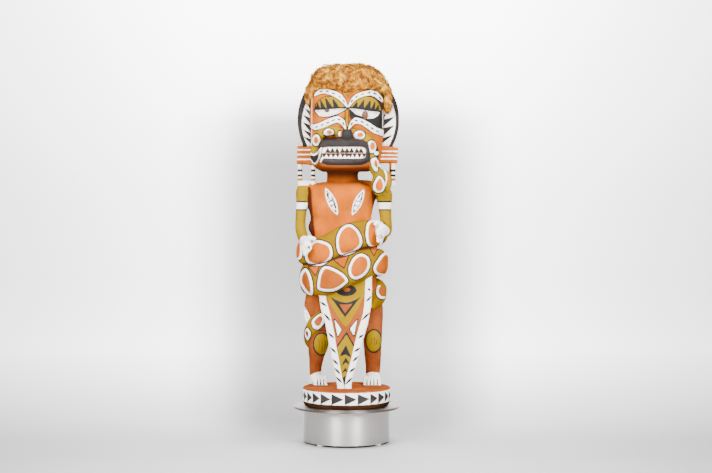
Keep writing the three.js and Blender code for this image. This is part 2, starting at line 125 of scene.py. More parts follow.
# The soft shadow on the wall: how much it dims at places across, and the share of that at heights.
SOFT_SHADOW = [(-333, 0), (-253, 8), (-213, 21), (-173, 36), (-133, 39), (-103, 40), (0, 38),
               (107, 28), (147, 28), (187, 25), (227, 15), (267, 7), (307, 1), (347, 0)]
SHADOW_HEIGHTS = [(-20, 0), (3, 0.35), (43, 0.8), (83, 1), (550, 1), (623, 0.72), (690, 0.05), (720, 0)]
# Light that a grey needs to show at each brightness, and the light lent by the lamps at distances back.
SHOWN = [190, 203, 207, 211, 214, 217, 221, 224, 227, 230, 233, 235, 237, 239, 241, 243, 245, 247, 249]
LIGHT = [0.8, 1.2, 1.4, 1.6, 1.75, 2.0, 2.3, 2.6, 3.0, 3.5, 4.0, 4.5, 5.0, 5.5, 6.0, 7.0, 8.0, 9.0,
         10.0]
LENT_LIGHT = [(-1, 0.79), (0, 0.79), (1, 0.5), (3.2, 0.25)]


# Sections are [x, y, z, half width, half depth, boxiness], and paths [x, y, z, half width, half height].
HEAD = [
    [-3, 12, 431, 46, 42, 2.6],
    [-1, 9, 441, 62, 59, 3.1],
    [0, 8, 470, 69, 64, 3.4],
    [0.5, 8, 520, 71.5, 66, 3.5],
    [0.5, 8, 575, 71.5, 66, 3.3],
    [1, 9, 606, 66, 61, 2.9],
    [1, 10, 624, 51, 48, 2.5],
    [1, 10, 632, 30, 28, 2.2],
]
NOSTRIL = {"middle": [1, -62, 501], "apart": 14, "half": [9, 10, 10]}
NOSE = [
    [2, -57, 552, 3, 3],
    [2, -62, 532, 5, 7],
    [1.5, -68, 512, 9, 11],
    [1, -71, 500, 12.5, 14],
    [1, -66, 489, 10, 11],
]
MUZZLE = [
    [-4.5, -30, 467, 50, 26, 5],
    [-4.5, -66, 467, 49.5, 25.5, 5],
    [-4.5, -79, 467, 47, 23, 5],
    [-4.5, -83, 467, 43, 19, 5],
]
CHIN = [
    [-4, -20, 443, 51, 11, 4],
    [-4, -60, 444, 50, 11, 4],
    [-4, -72, 447, 45, 9, 4],
]
EAR_BARS = [
    [[-55, 6, 462.5, 14, 20.5, 7], [-99, 6, 464.5, 13, 17.5, 7]],
    [[55, 6, 466, 14, 18.5, 7], [103, 6, 463.5, 13, 15.5, 7]],
]
PENDANTS = [
    [-93, 450, 404, 5],
    [-66.8, 448, 406, 5],
    [64.5, 452, 404, 4.4],
    [92, 452, 402, 6.5],
]
PENDANT_MIDDLE = 4
LEFT_SNAKE = [
    [-10, -66, 503, 8, 8],
    [-20, -66, 509, 9, 9],
    [-34, -64, 509, 9, 10],
    [-48, -61, 505, 9, 10],
    [-58, -55, 494, 9, 10],
    [-61, -50, 480, 9, 10],
    [-62, -46, 466, 9, 11],
    [-62, -42, 453, 8, 9],
    [-61, -38, 445, 4, 4],
]
RIGHT_SNAKE = [
    [12, -66, 504, 9, 9],
    [24, -66, 502, 10, 12],
    [38, -66, 494, 10, 12],
    [48, -66, 482, 10, 12],
    [53, -63, 468, 10, 12],
    [52, -59, 452, 10, 13],
    [54, -54, 438, 10, 12],
    [62, -48, 425, 11, 11],
    [64, -44, 412, 14, 14],
    [64, -40, 396, 15, 16],
    [64, -38, 390, 10, 8],
]
RIGHT_SNAKE_LOOP = [
    [58, -48, 427, 6, 6],
    [68, -46, 428, 6.5, 6.5],
    [79, -42, 424, 7, 7],
    [84, -38, 408, 6, 7],
    [80, -34, 394, 6, 6],
]
TRUNK = [
    [-3, 6, 172, 48, 32, 2.5],
    [-3, 5, 186, 61, 40, 2.5],
    [-4, 6, 215, 64, 40, 2.4],
    [-7, 9, 290, 60, 38, 2.4],
    [-13, 10, 318, 64, 40, 2.6],
    [-11, 10, 338, 61, 40, 2.7],
    [-11.5, 10, 365, 66, 41, 2.8],
    [-6.5, 10, 392, 68.5, 39, 3],
    [-9, 11, 404, 58, 35, 3],
    [-8, 12, 410, 40, 28, 2.5],
]
NECK = [
    [-8, 12, 402, 32.5, 28],
    [-8, 12, 420, 31.5, 28],
    [-7, 12, 438, 32, 28],
]
SHOULDERS = [
    [-78, 8, 396, 11, 12],
    [-50, 10, 396, 16, 13],
    [20, 10, 400, 17, 14],
    [44, 10, 401, 16, 13],
    [72, 8, 392, 12, 14],
]
LEFT_ARM = [
    [-82, 8, 404, 11, 12],
    [-87.5, 7, 390, 14, 13.5],
    [-89, 6, 366, 14, 12],
    [-91.5, 5, 342, 13, 10.5],
    [-92, 0, 320, 12, 10.5],
    [-88, -16, 303, 11, 10.5],
    [-83, -36, 293, 10.5, 10],
    [-79, -56, 288, 10, 10],
]
RIGHT_ARM = [
    [75, 8, 398, 11, 12],
    [76, 7, 384, 14, 16],
    [76.5, 6, 362, 14, 14],
    [78.5, 6, 340, 12.5, 12],
    [80, 3, 320, 12, 11.5],
    [79, -12, 312, 11.5, 11],
    [75, -34, 313, 11, 11],
    [69, -54, 317, 10.5, 11],
]
HANDS = [
    {"middle": [-78, -62, 287], "half": [9, 12, 14]},
    {"middle": [66.5, -62, 315], "half": [8.5, 12, 17]},
]
THUMBS = [
    [[-80, -66, 297, 4.5, 4.5], [-72, -73, 300, 5, 5], [-63, -76, 298, 4, 4]],
    [[66, -66, 328, 4.5, 4.5], [60, -74, 330, 5, 5], [56, -78, 327, 4, 4]],
]
# First and last root and tip of each hand's four fingers.
FINGERS = [
    {"roots": [[-73, -70, 291], [-85, -64, 284]], "tips": [[-70.5, -77, 280], [-81, -74, 268]]},
    {"roots": [[73, -68, 322], [72, -64, 303]], "tips": [[60.5, -78, 314], [62, -75, 294]]},
]
FINGER_COUNT = 4
FINGER_RADIUS = 3.6
LEGS = [
    [
        [-63, 42, 4, 12, 14],
        [-63, 39, 28, 12, 13.5],
        [-60.5, 29, 54, 15, 17],
        [-57, 15, 78, 20, 21],
        [-55, 7, 104, 22, 24],
        [-56, 8, 135, 23.5, 26],
        [-58, 12, 165, 27, 30],
        [-50, 14, 205, 26, 31],
    ],
    [
        [53, 42, 4, 14, 14],
        [53.5, 39, 28, 14.5, 13.5],
        [53.5, 29, 54, 16.5, 17],
        [52.5, 15, 78, 18, 20],
        [52, 7, 104, 19.5, 24],
        [51, 8, 135, 22, 26],
        [48, 12, 165, 24.5, 30],
        [40, 14, 205, 24, 31],
    ],
]
FEET = [
    [[-64, 60, 8, 10, 9], [-62, 44, 12, 12, 13], [-57, 30, 9, 14, 10], [-54, 23, 5, 13, 6]],
    [[54, 60, 8, 11, 9], [53, 44, 12, 13, 13], [51, 30, 9, 16, 10], [50, 23, 5, 15, 6]],
]
THIGH_FIN = [
    [-80, -4, 160, 5, 5],
    [-79, -6, 148, 7, 6],
    [-76, -10, 136, 7, 6],
    [-74, -12, 126, 5, 5],
]
# Toes of each foot: how many, their middle, and the pitch.
TOES = [(4, -52, 6.3), (5, 51.5, 7.1)]
TOE_RADIUS = 3.5
TOE_LINE = [[33, 15], [22, 10], [17.5, 3]]
APRON = [
    [-4.2, -35, -1, 13.4, 7, 7],
    [-4.7, -36, 20, 16.5, 7, 7],
    [-3.2, -37.5, 50, 24, 7, 7],
    [-2, -40, 90, 32.5, 7, 7],
    [0, -42, 130, 42, 7, 7],
    [-1.7, -43, 170, 50.7, 8, 7],
    [-2, -44, 234, 52, 9, 7],
]
LEG_SNAKE = [
    [-32, -22, 152, 9, 10],
    [-46, -24, 142, 10, 14],
    [-59, -22, 131, 10, 15],
    [-71, -13, 118, 10, 14],
    [-77, 2, 105, 9, 13],
    [-77, 18, 92, 8, 11],
    [-70, 32, 78, 6, 8],
    [-62, 38, 68, 4, 5],
]
EAR = {"middle": 534, "reach": {-1: 97.5, 1: 105}, "rise": 108, "low": 480, "high": 606, "root": 52}
EAR_FRONT = -6
EAR_THICKNESS = 15

# The great snake, with a station every eighth of a turn: [height, half thickness, half height, share of
# its reach].
COIL = {"x": -7.5, "y": -3, "reach_x": 68.5, "reach_y": 57, "start": -300, "step": 45, "boxy": 2.5}
COIL_STATIONS = [
    [163, 5, 7, 1],
    [188, 20, 24, 1.04],
    [198, 20, 25, 1],
    [205, 22, 27, 1],
    [212, 22, 30, 0.97],
    [218, 22, 32, 0.95],
    [220, 22, 32, 1],
    [242, 22, 31, 1],
    [253, 21, 28, 1],
    [247, 22, 27, 1],
    [252, 22, 27, 1],
    [258, 22, 27, 1],
    [266, 22, 27, 1.02],
    [271, 22, 28, 1.02],
    [276, 22, 28, 1],
    [302, 22, 28, 1],
    [309, 21, 26, 1],
    [307, 20, 25, 1],
    [310, 18, 23, 1],
    [314, 17, 23, 1],
    [314, 9, 10, 0.9],
]
COIL_SKIN = 89
COIL_STEPS = 8

# Edges of the hair in the front view, as [across, up]: over the crown from ear to ear, along the brows,
# and at the nape. Strands nearer than HAIR_FORE keep to the brow edge.
HAIR_TOP = [(-77, 673), (-82, 678), (-83, 690), (-82, 707), (-79, 712), (-73.5, 719), (-72.5, 730),
            (-67.5, 740), (-61, 745.5), (-55, 749.5), (-45, 753.5), (-34, 755.5), (0, 757.5),
            (41, 756), (50, 752.5), (59, 746), (68, 739.5), (77, 732), (83.5, 721), (88, 710),
            (92.5, 696), (93.5, 681), (91.5, 667), (88, 655)]
HAIR_FRINGE = [(79, 657), (76, 671), (74, 685), (70, 695.5), (62.5, 701.5), (54.5, 705),
               (46.5, 705.5), (34, 702.5), (17.5, 699.5), (9.5, 695), (3.5, 687), (-2, 689),
               (-9, 695.5), (-13, 699.5), (-27.5, 700.5), (-35.5, 707.5), (-54, 707), (-60, 703.5),
               (-66, 705.5), (-66, 683)]
HAIR_NAPE = [(90, 640), (-80, 640)]
HAIR_FORE = 2
HAIR_FUZZ = 1.6
MOST_STRANDS = 3540
# The wig, in metres: its middle from front to back, the grain it is fused at, how far its core lies below
# its top, how far the mat is sunk under the strands, and its lumps as [size, seed, height].
WIG_MIDDLE = 0.009
WIG_GRAIN = 0.0022
WIG_CORE_BELOW = 0.06
WIG_SUNK = 0.0024
WIG_LUMPS = [(0.011, 5, 0.0013), (0.004, 6, 0.0009)]
# How the locks lie: how far they turn from hanging straight, and their share of length, at heights.
LOCK_TURN = ([0.665, 0.72], [0.25, 1.1])
LOCK_SHARE = ([0.68, 0.72], [0.7, 1])
LOCK_LIFT = (-0.02, 0.3)
LOCK_LENGTHS = (0.55, 1.3)
LOCK_CURLS = (0.6, 1.35)
LOCK_TURNS = (0.9, 2.0)
LOCK_DROOP = 0.2
LOCK_SUNK = (0.0005, 0.002)
STRAND_STEPS = 10
STRAND_SIDES = 3
STRAND_TAPER = 0.55

EYE_LUMPS = {
    "left_eye_resin": {"middle": [-38.5, -56, 549.5], "half": [5, 5, 3.5]},
    "right_eye_shell": {"middle": [36.5, -55, 540.5], "half": [6.5, 6, 9]},
}


# Forms

def flow(rows, steps):
    """Smooth rows of numbers between the given ones, steps of them for each gap."""
    rows = np.array(rows, float)
    count = (len(rows) - 1) * steps
    place = np.arange(count + 1) / steps
    i = np.minimum(place.astype(int), len(rows) - 2)
    f = (place - i)[:, None]
    a, b, c, d = [rows[np.clip(i + k, 0, len(rows) - 1)] for k in (-1, 0, 1, 2)]
    bend = 2 * a - 5 * b + 4 * c - d + f * (3 * b - a - 3 * c + d)
    return b + 0.5 * f * (c - a + f * bend)


def sweep(rows, axis=Z_AXIS, along=None, sides=32, steps=ROW_FINE, domes=0):
    """A rounded solid along stations, as (points, faces)."""
    rows = [list(row) + [2] * (6 - len(row)) for row in rows]
    line = flow(rows, steps)
    middle = line[:, :3]
    path = middle[np.minimum(np.arange(len(line)) + 1, len(line) - 1)]
    path = path - middle[np.maximum(np.arange(len(line)) - 1, 0)]
    ahead = np.tile(along, (len(line), 1)) if along is not None else path
    ahead = ahead / np.linalg.norm(ahead, axis=1)[:, None]
    across = np.cross(ahead, axis)
    across /= np.linalg.norm(across, axis=1)[:, None]
    up = np.cross(across, ahead)
    a, b, power = line[:, 3], line[:, 4], line[:, 5]
    rings = [(middle[i], across[i], up[i], a[i], b[i], power[i]) for i in range(len(line))]

    def cap(i, sign):
        reach = min(a[i], b[i])
        out = []
        for k in range(domes):
            angle = (k + 1) / (domes + 1) * math.pi / 2
            centre = middle[i] + sign * ahead[i] * reach * math.sin(angle)
            shrink = math.cos(angle)
            out.append((centre, across[i], up[i], a[i] * shrink, b[i] * shrink, power[i]))
        return out, middle[i] + sign * ahead[i] * (reach if domes else 0)

    first, start = cap(0, -1)
    last, end = cap(len(line) - 1, 1)
    rings = first[::-1] + rings + last
    turn = np.arange(sides) * 2 * math.pi / sides
    c, s = np.cos(turn)[:, None], np.sin(turn)[:, None]
    points = []
    for centre, side, rise, half_a, half_b, p in rings:
        scale = (np.abs(c) ** p + np.abs(s) ** p) ** (-1 / p)
        points.append(centre + side * half_a * c * scale + rise * half_b * s * scale)
    count = len(rings)
    points = np.vstack(points + [start[None], end[None]])
    faces = []
    for i in range(count - 1):
        for j in range(sides):
            p, q = i * sides + j, i * sides + (j + 1) % sides
            faces.append((p, q, q + sides, p + sides))
    tail = (count - 1) * sides
    for j in range(sides):
        k = (j + 1) % sides
        faces.append((count * sides, k, j))
        faces.append((count * sides + 1, tail + j, tail + k))
    return points, faces


def level(rows, sides=48):
    """A sweep whose sections all lie flat."""
    return sweep(rows, axis=Y_AXIS, along=Z_AXIS, sides=sides)


def lump(middle, half, sides=20):
    """A rounded lump of half sizes [x, y, z] round its middle."""
    angles = np.linspace(-math.pi / 2, math.pi / 2, 13)[1:-1]
    rows = []
    for a in angles:
        height = middle[2] + half[2] * math.sin(a)
        rows.append([middle[0], middle[1], height, half[0] * math.cos(a), half[1] * math.cos(a)])
    points, faces = sweep(rows, axis=Y_AXIS, along=Z_AXIS, sides=sides, steps=1)
    points[-2] = [middle[0], middle[1], middle[2] - half[2]]
    points[-1] = [middle[0], middle[1], middle[2] + half[2]]
    return points, faces


def turned(profile, segments=128):
    """A turned solid from [radius, height] points, in a closed outline or from axis to axis."""
    profile = np.array(profile, float)
    turn = np.arange(segments) * 2 * math.pi / segments
    points, faces = [], []
    index = []
    for radius, height in profile:
        if radius < 1e-6:
            index.append([len(points)] * segments)
            points.append([0, 0, height])
        else:
            index.append(list(range(len(points), len(points) + segments)))
            points += [[radius * math.cos(t), radius * math.sin(t), height] for t in turn]
    closed = profile[0][0] > 1e-6
    spans = len(profile) if closed else len(profile) - 1
    for i in range(spans):
        low, high = index[i], index[(i + 1) % len(profile)]
        for j in range(segments):
            k = (j + 1) % segments
            corners = [low[j], low[k], high[k], high[j]]
            faces.append(tuple(dict.fromkeys(corners)))
    return np.array(points, float), faces


def rounded(profile, radius, count=4):
    """The outline with each inner corner swapped for a small arc."""
    profile = np.array(profile, float)
    out = [profile[0]]
    for before, corner, after in zip(profile, profile[1:], profile[2:]):
        start = corner + (before - corner) / np.linalg.norm(before - corner) * radius
        end = corner + (after - corner) / np.linalg.norm(after - corner) * radius
        for k in range(count + 1):
            t = k / count
            out.append((1 - t) ** 2 * start + 2 * t * (1 - t) * corner + t * t * end)
    return np.array(out + [profile[-1]])


def ear(side):
    """A tall half-oval plate beside the head."""
    reach, rise, middle = EAR["reach"][side], EAR["rise"], EAR["middle"]
    start = math.asin((EAR["low"] - middle) / rise)
    end = math.asin((EAR["high"] - middle) / rise)
    outline = [[side * EAR["root"], EAR["low"]]]
    for angle in np.linspace(start, end, 40):
        outline.append([side * reach * math.cos(angle), middle + rise * math.sin(angle)])
    outline.append([side * EAR["root"], EAR["high"]])
    back = EAR_FRONT + EAR_THICKNESS
    points = [[x, EAR_FRONT, z] for x, z in outline] + [[x, back, z] for x, z in outline]
    count = len(outline)
    faces = [tuple(range(count)), tuple(range(2 * count - 1, count - 1, -1))]
    faces += [(i, i + count, (i + 1) % count + count, (i + 1) % count) for i in range(count)]
    if side > 0:
        faces = [face[::-1] for face in faces]
    return np.array(points, float), faces


def coil_line():
    """The great snake's stations, wound round the waist."""
    rows = []
    for i, (z, thick, high, share) in enumerate(COIL_STATIONS):
        turn = math.radians(COIL["start"] + COIL["step"] * i)
        x = COIL["reach_x"] * math.sin(turn) * share
        y = COIL["reach_y"] * math.cos(turn) * share
        rows.append([COIL["x"] + x, COIL["y"] - y, z, thick, high, COIL["boxy"]])
    return rows


def between(pair, share):
    """The place that share of the way from the first of a pair to the second."""
    return np.array(pair[0]) + (np.array(pair[1]) - np.array(pair[0])) * share


def fingers():
    """Four fingers on each hand."""
    made = []
    for hand in FINGERS:
        for i in range(FINGER_COUNT):
            share = i / (FINGER_COUNT - 1)
            root, tip = between(hand["roots"], share), between(hand["tips"], share)
            rows = [[*(root + (tip - root) * t), FINGER_RADIUS, FINGER_RADIUS] for t in (0, 0.5, 1)]
            made.append(sweep(rows, axis=X_AXIS, sides=12, domes=3))
    return made


def toes():
    """The toes of both feet."""
    made = []
    for count, middle, spread in TOES:
        for i in range(count):
            x = middle + (i - (count - 1) / 2) * spread
            rows = [[x, y, z, TOE_RADIUS, TOE_RADIUS] for y, z in TOE_LINE]
            made.append(sweep(rows, axis=X_AXIS, sides=12, domes=3))
    return made


def base():
    """The round base, a little narrower at its foot."""
    foot, low = -BASE_HEIGHT + BASE_FOOT, -BASE_HEIGHT
    outline = [[0, low], [BASE_RADIUS - BASE_TUCK, low], [BASE_RADIUS, foot], [BASE_RADIUS, 0], [0, 0]]
    return turned(rounded(outline, BASE_ROUND))


def forms():
    """Every form of the carving, by the name that the painting knows it by."""
    pendants = []
    for across, high, low, radius in PENDANTS:
        rows = [[across, PENDANT_MIDDLE, z, radius, radius] for z in (high, low)]
        pendants.append(sweep(rows, axis=Y_AXIS, sides=16))
    x, y, z = NOSTRIL["middle"]
    nostrils = [lump([x + side * NOSTRIL["apart"], y, z], NOSTRIL["half"]) for side in (-1, 1)]
    return {
        "base": [base()],
        "legs": [level(rows, 32) for rows in LEGS],
        "feet": [sweep(rows, sides=24, domes=4) for rows in FEET] + toes(),
        "thigh_fin": [sweep(THIGH_FIN, axis=Y_AXIS, sides=16, domes=3)],
        "apron": [level(APRON, 64)],
        "trunk": [level(TRUNK), level(NECK, 40), sweep(SHOULDERS, sides=24, domes=4)],
        "arms": [sweep(rows, axis=X_AXIS, sides=24, domes=4) for rows in (LEFT_ARM, RIGHT_ARM)],
        "hands": [lump(**hand) for hand in HANDS] + fingers()
                 + [sweep(rows, sides=12, domes=3) for rows in THUMBS],
        "coil": [sweep(coil_line(), sides=36, steps=6, domes=5)],
        "leg_snake": [sweep(LEG_SNAKE, sides=24, domes=4)],
        "head": [level(HEAD, 72), sweep(NOSE, axis=Y_AXIS, sides=20, domes=3)] + nostrils,
        "muzzle": [sweep(MUZZLE, sides=48, steps=6)],
        "chin": [sweep(CHIN, sides=40)],
        "ears": [ear(-1), ear(1)],
        "bars": [sweep(rows, sides=40) for rows in EAR_BARS],
        "pendants": pendants,
        "nose_snakes": [sweep(rows, axis=Y_AXIS, sides=24, steps=6, domes=4)
                        for rows in (LEFT_SNAKE, RIGHT_SNAKE, RIGHT_SNAKE_LOOP)],
    }


def gather(parts):
    """All forms as one list of points and faces, and the name number of each face."""
    names = list(parts)
    points, faces, owner = [], [], []
    count = 0
    for number, name in enumerate(names):
        for form_points, form_faces in parts[name]:
            points.append(form_points)
            faces += [tuple(i + count for i in face) for face in form_faces]
            owner += [number] * len(form_faces)
            count += len(form_points)
    return np.vstack(points), faces, np.array(owner), names


# Distances in the front view and on the coil, in millimetres, above nought inside a shape

def front_view(points):
    """Where points above the base show on an upright sheet through the figure's middle, as [across, up]."""
    away = EYE_AWAY + points[:, 1]
    across = points[:, 0] * EYE_AWAY / away
    drop = np.arctan((EYE_HEIGHT - points[:, 2] - BASE_TOP) / away) - EYE_DOWN
    return np.stack([across, SHEET_MIDDLE - EYE_AWAY * np.tan(drop)], 1)


def patch(at, outline):
    """Distance inside a closed outline of [across, up] corners."""
    outline = np.array(outline, float)
    best = np.full(len(at), 1e9)
    inside = np.zeros(len(at), bool)
    for p, q in zip(outline, np.roll(outline, -1, 0)):
        edge = q - p
        t = np.clip(((at - p) @ edge) / max(edge @ edge, 1e-9), 0, 1)
        best = np.minimum(best, np.linalg.norm(at - p - t[:, None] * edge, axis=1))
        crosses = (p[1] > at[:, 1]) != (q[1] > at[:, 1])
        rise = q[1] - p[1] if abs(q[1] - p[1]) > 1e-9 else 1e-9
        inside ^= crosses & (at[:, 0] < p[0] + (at[:, 1] - p[1]) * edge[0] / rise)
    return np.where(inside, best, -best)


def stroke(at, line, half=None):
    """Distance inside a brush stroke along [across, up, half width] places, or of one half width."""
    line = np.array([list(p)[:2] + [half if half is not None else p[2]] for p in line], float)
    best = np.full(len(at), -1e9)
    for p, q in zip(line, line[1:]):
        edge = q[:2] - p[:2]
        t = np.clip(((at - p[:2]) @ edge) / max(edge @ edge, 1e-9), 0, 1)
        width = p[2] + (q[2] - p[2]) * t
        best = np.maximum(best, width - np.linalg.norm(at - p[:2] - t[:, None] * edge, axis=1))
    return best


def dashes(at, line, spacing, length, half, start=0.0):
    """Short dashes along the middle of a band."""
    line = np.array([list(p)[:2] for p in flow(line, 4)], float)
    steps = np.linalg.norm(np.diff(line, axis=0), axis=1)
    total = np.concatenate([[0], np.cumsum(steps)])
    best = np.full(len(at), -1e9)
    place = start + spacing / 2
    while place < total[-1] - spacing / 3:
        ends = []
        for reach in (-length / 2, length / 2):
            ends.append([np.interp(place + reach, total, line[:, k]) for k in (0, 1)])
        best = np.maximum(best, stroke(at, ends, half))
        place += spacing
    return best


def oval(at, middle, half, power=2.0):
    """Distance inside an oval, near enough close to its edge."""
    a, b = np.abs(at[:, 0] - middle[0]) / half[0], np.abs(at[:, 1] - middle[1]) / half[1]
    reach = (a ** power + b ** power) ** (1 / power)
    return (1 - reach) * min(half)


def blob(at, outline):
    """Distance inside an outline rounded through its corners."""
    ring = np.vstack([outline[-1:], outline, outline[:2]])
    return patch(at, flow(ring, 4)[4:-5])


def lens(at, first, second, half):
    """Distance inside a pointed leaf between two tips."""
    first, second = np.array(first), np.array(second)
    chord = np.linalg.norm(second - first)
    radius = (chord ** 2 / 4 + half ** 2) / (2 * half)
    across = np.array([second[1] - first[1], first[0] - second[0]]) / chord
    middle = (first + second) / 2
    arcs = []
    for side in (-1, 1):
        arcs.append(radius - np.linalg.norm(at - middle - across * side * (radius - half), axis=1))
    return both(*arcs)


def union(*distances):
    """Distance inside any of the shapes."""
    return np.maximum.reduce(distances)


def rim(distance, width):
    """A line of that width just outside a shape."""
    return np.minimum(distance + width, -distance)


def both(*distances):
    """Distance inside all of the shapes."""
    return np.minimum.reduce(distances)


# Painting of the face, in the front view. Strokes are [across, up, half width], patches are outlines.

BROWS = [
    [(1, 670, 1.5), (-6, 681.5, 4.2), (-14, 690, 5.4), (-22, 694.5, 5.4), (-32, 698.5, 4.8),
     (-43, 701, 4.4), (-52, 700, 4.2), (-57.5, 697, 3.4), (-64, 691.5, 1.2)],
    [(4.5, 670, 1.5), (8, 676.5, 2.6), (14.5, 685.5, 4.2), (24.5, 692, 4.8), (35.5, 695.5, 4.5),
     (49, 698, 5.3), (59, 694.5, 5.3), (66.5, 687.5, 4.4), (72, 681, 2.5)],
]
CHEEKS = [
    [(-2, 626, 1.5), (-8, 639, 5), (-18, 645, 6), (-30, 641, 6.2), (-43, 635.5, 6.2),
     (-54, 631, 5.8), (-63, 628.5, 5.6), (-68, 630, 4)],
    [(5, 626, 1.5), (12, 638, 4.5), (19, 642, 6), (31, 639.5, 5.2), (45, 631, 6), (57, 622.5, 6),
     (72, 617, 6)],
]
UPPER_LENSES = [
    [(-62, 665.5), (-61, 674), (-51, 685), (-42, 689), (-29.5, 689.5), (-18.5, 685.7),
     (-9.5, 677.5), (-0.5, 669), (-15, 667.5), (-62, 664)],
    [(6.5, 669.5), (17, 680.5), (26.5, 686.6), (37, 689.4), (50, 688.5), (59, 683), (65.5, 674.8),
     (69.5, 662), (50, 661.5), (33.5, 664.8), (10, 668)],
]
LOWER_LENSES = [
    [(-64, 663.5), (-54.8, 651.6), (-46.6, 649.8), (-32, 651.2), (-18.5, 655.3), (0.5, 665.7),
     (-15, 665.7)],
    [(4.5, 666.6), (19, 654.8), (35.4, 648.5), (42.6, 645.7), (53.5, 646.2), (62.6, 652),
     (67.2, 658.5), (50, 660.5), (29, 663.9)],
]
LASHES = [
    [(-63, 665.7), (-59.4, 665.7), (-62, 670)],
    [(-60.3, 666), (-53.5, 666), (-58, 677)],
    [(-50.5, 665), (-41.5, 665), (-51.8, 682.5)],
    [(-38.5, 665.5), (-26.5, 665.5), (-41.8, 686)],
    [(-25, 667), (-14.8, 667), (-27.3, 685)],
    [(11.5, 667.5), (21, 666.5), (21, 679)],
    [(23, 666.5), (33.3, 665), (35, 683.5)],
    [(35.3, 665), (47.5, 663), (47.3, 681)],
    [(48.5, 663), (55.6, 662), (57, 679)],
    [(57.2, 662.5), (63.7, 662.5), (63.7, 672.5)],
]
RIGHT_LID = [(38, 690.5), (50, 692.5), (61, 690), (67, 684), (71.5, 675), (72.5, 661), (69.5, 663),
             (64.5, 676.6), (57.2, 685.7), (48, 689.4)]
DARK_CHEEK = [
    (5, 667), (72, 661), (72, 623), (55, 629), (43, 638), (27, 646), (17, 648), (11, 643), (6, 650),
]
NOSE_TIP = [(-4, 630), (-9, 620), (-11, 602), (-3, 598), (8, 598), (14, 606), (12, 618), (6, 630)]
NOSE_STRIP = [(0.5, 664), (0.5, 627)]
# Black under the left snake down to the muzzle: partly black paint, partly painted shadow under the snake.
UNDER_SNAKE = [(-52, 613), (-40, 609), (-26, 608.5), (-10, 610), (-8, 598), (-52, 598)]
LID_LINES = [[(-64, 664), (-40, 665), (-1, 668.5)], [(8, 668), (33, 664.5), (50, 661.3), (68, 661)]]
FACE_EDGES = [[(-69.3, 692), (-69.3, 640), (-70, 592)], [(72.3, 664), (72.3, 626)]]
EYE_REST_STAIN = [(-45, 666), (-35, 666), (-37, 660), (-41, 657)]
MOUTH_LEFT, MOUTH_RIGHT = -48, 38
MOUTH_TOP, MOUTH_GAP, MOUTH_BOTTOM = 589, 577, 566
UPPER_GAPS = [-37.5, -28, -18.8, -8, 1, 10.2, 20.6, 29]
LOWER_GAPS = [-45, -35.6, -26.5, -17.5, -7.5, 0.8, 7.8, 16.3, 26, 35]
TOOTH_GAP_HALF = 4.9
GUM = 2
THORNS = [
    [(-80, 678), (-70, 671.5), (-70, 660)],
    [(-84.5, 667.5), (-70, 659), (-70, 647.5)],
    [(-87.5, 653.5), (-70, 646), (-70, 632.5)],
    [(-89, 640.2), (-70, 631), (-70, 617)],
    [(-88, 625.2), (-70.5, 616), (-70.5, 606)],
    [(-86.6, 610.5), (-70.5, 604.5), (-70.5, 594.5)],
    [(78.5, 655), (73, 652), (73.5, 642.5)],
    [(97.2, 650), (74, 643.5), (72.4, 629)],
    [(95.5, 632), (72, 626.5), (71, 609)],
    [(93, 613), (70.5, 606.3), (69, 595)],
]
# Width of each ear's dark rim at a few heights, as [up, left, right].
EAR_RIM = [(594, 6.3, 6), (612, 6.6, 6.2), (640, 8.2, 6.6), (660, 10.5, 7.5), (680, 11.5, 9)]
BAR_LINES = [
    [(-110, 583.4), (-60, 583.4)], [(-110, 574), (-60, 574)], [(-110, 564.4), (-60, 564.4)],
    [(60, 581), (115, 580)], [(60, 573), (115, 572.6)], [(60, 565.6), (115, 565.2)],
]
# Oval spots of the two nose snakes: [across, up, half width, half height] of the ring and of what it holds.
NOSE_SPOTS = [
    [(-35.5, 618, 10, 7.5), (-34, 619, 5.5, 4.2)],
    [(-60.5, 602.5, 8.2, 11.2), (-61, 602.5, 4.4, 7.2)],
    [(25.8, 613, 11, 8.8), (27.3, 613.3, 6, 4.8)],
    [(50, 589.4, 9.4, 12.4), (52, 590.6, 5.2, 8)],
]
NOSE_BEADS = [(-13, 615, 4, 5.5), (60, 576.5, 4.5, 4)]
# Looser spots of the right snake's body, as outlines of the ring and of what it holds.
SNAKE_RINGS = [
    [(48.4, 563), (50, 553), (53, 546), (59, 540), (62.6, 543), (63, 550), (70, 549), (73, 556),
     (69, 562), (62, 563), (59.4, 567.4), (53, 567)],
    [(64, 531), (56, 520), (53, 508), (57, 500), (64, 497.5), (73, 501), (77, 511), (75, 521),
     (69, 529)],
]
SNAKE_HEARTS = [
    [(58, 564), (55, 558), (56.2, 552), (61, 547), (62, 557)],
    [(67, 527), (60, 518), (58, 509), (61, 503), (67, 501), (72, 506), (73, 513), (71, 521)],
]
SNAKE_BACK = [(58, 597), (66, 597), (68, 583), (67, 563), (59, 563)]
RIBBON_EDGE = [(74.5, 546, 1.4), (79, 536, 1.6), (80, 524, 1.6), (77.5, 512, 1.2)]
RIBBON_FLUSH = [(84, 532, 2.2), (85, 518, 2.2)]
# Black tail of the left snake, and the white lines round it and on to the teeth.
TAIL = [(-74, 579), (-66, 572), (-60, 574), (-50.6, 585), (-54, 570), (-57.5, 560.6), (-62, 556),
        (-68, 558), (-71, 563)]
TAIL_LINES = [
    [(-73.8, 579, 1.6), (-70.2, 574.5, 1.7), (-65.6, 573, 1.7), (-60.6, 575.2, 1.7),
     (-55.6, 580.6, 1.7), (-50.6, 586, 1.7)],
    [(-51, 584, 1.4), (-52.5, 578, 1.5), (-54.3, 569.7, 1.6), (-57.5, 560.6, 1.6),
     (-62, 555.4, 1.6), (-67.9, 557.5, 1.4), (-71, 563, 1.2)],
    [(-45.2, 568.8, 2), (-49.7, 565.2, 1.8), (-52, 558, 1.7), (-53.8, 551, 1.2)],
]
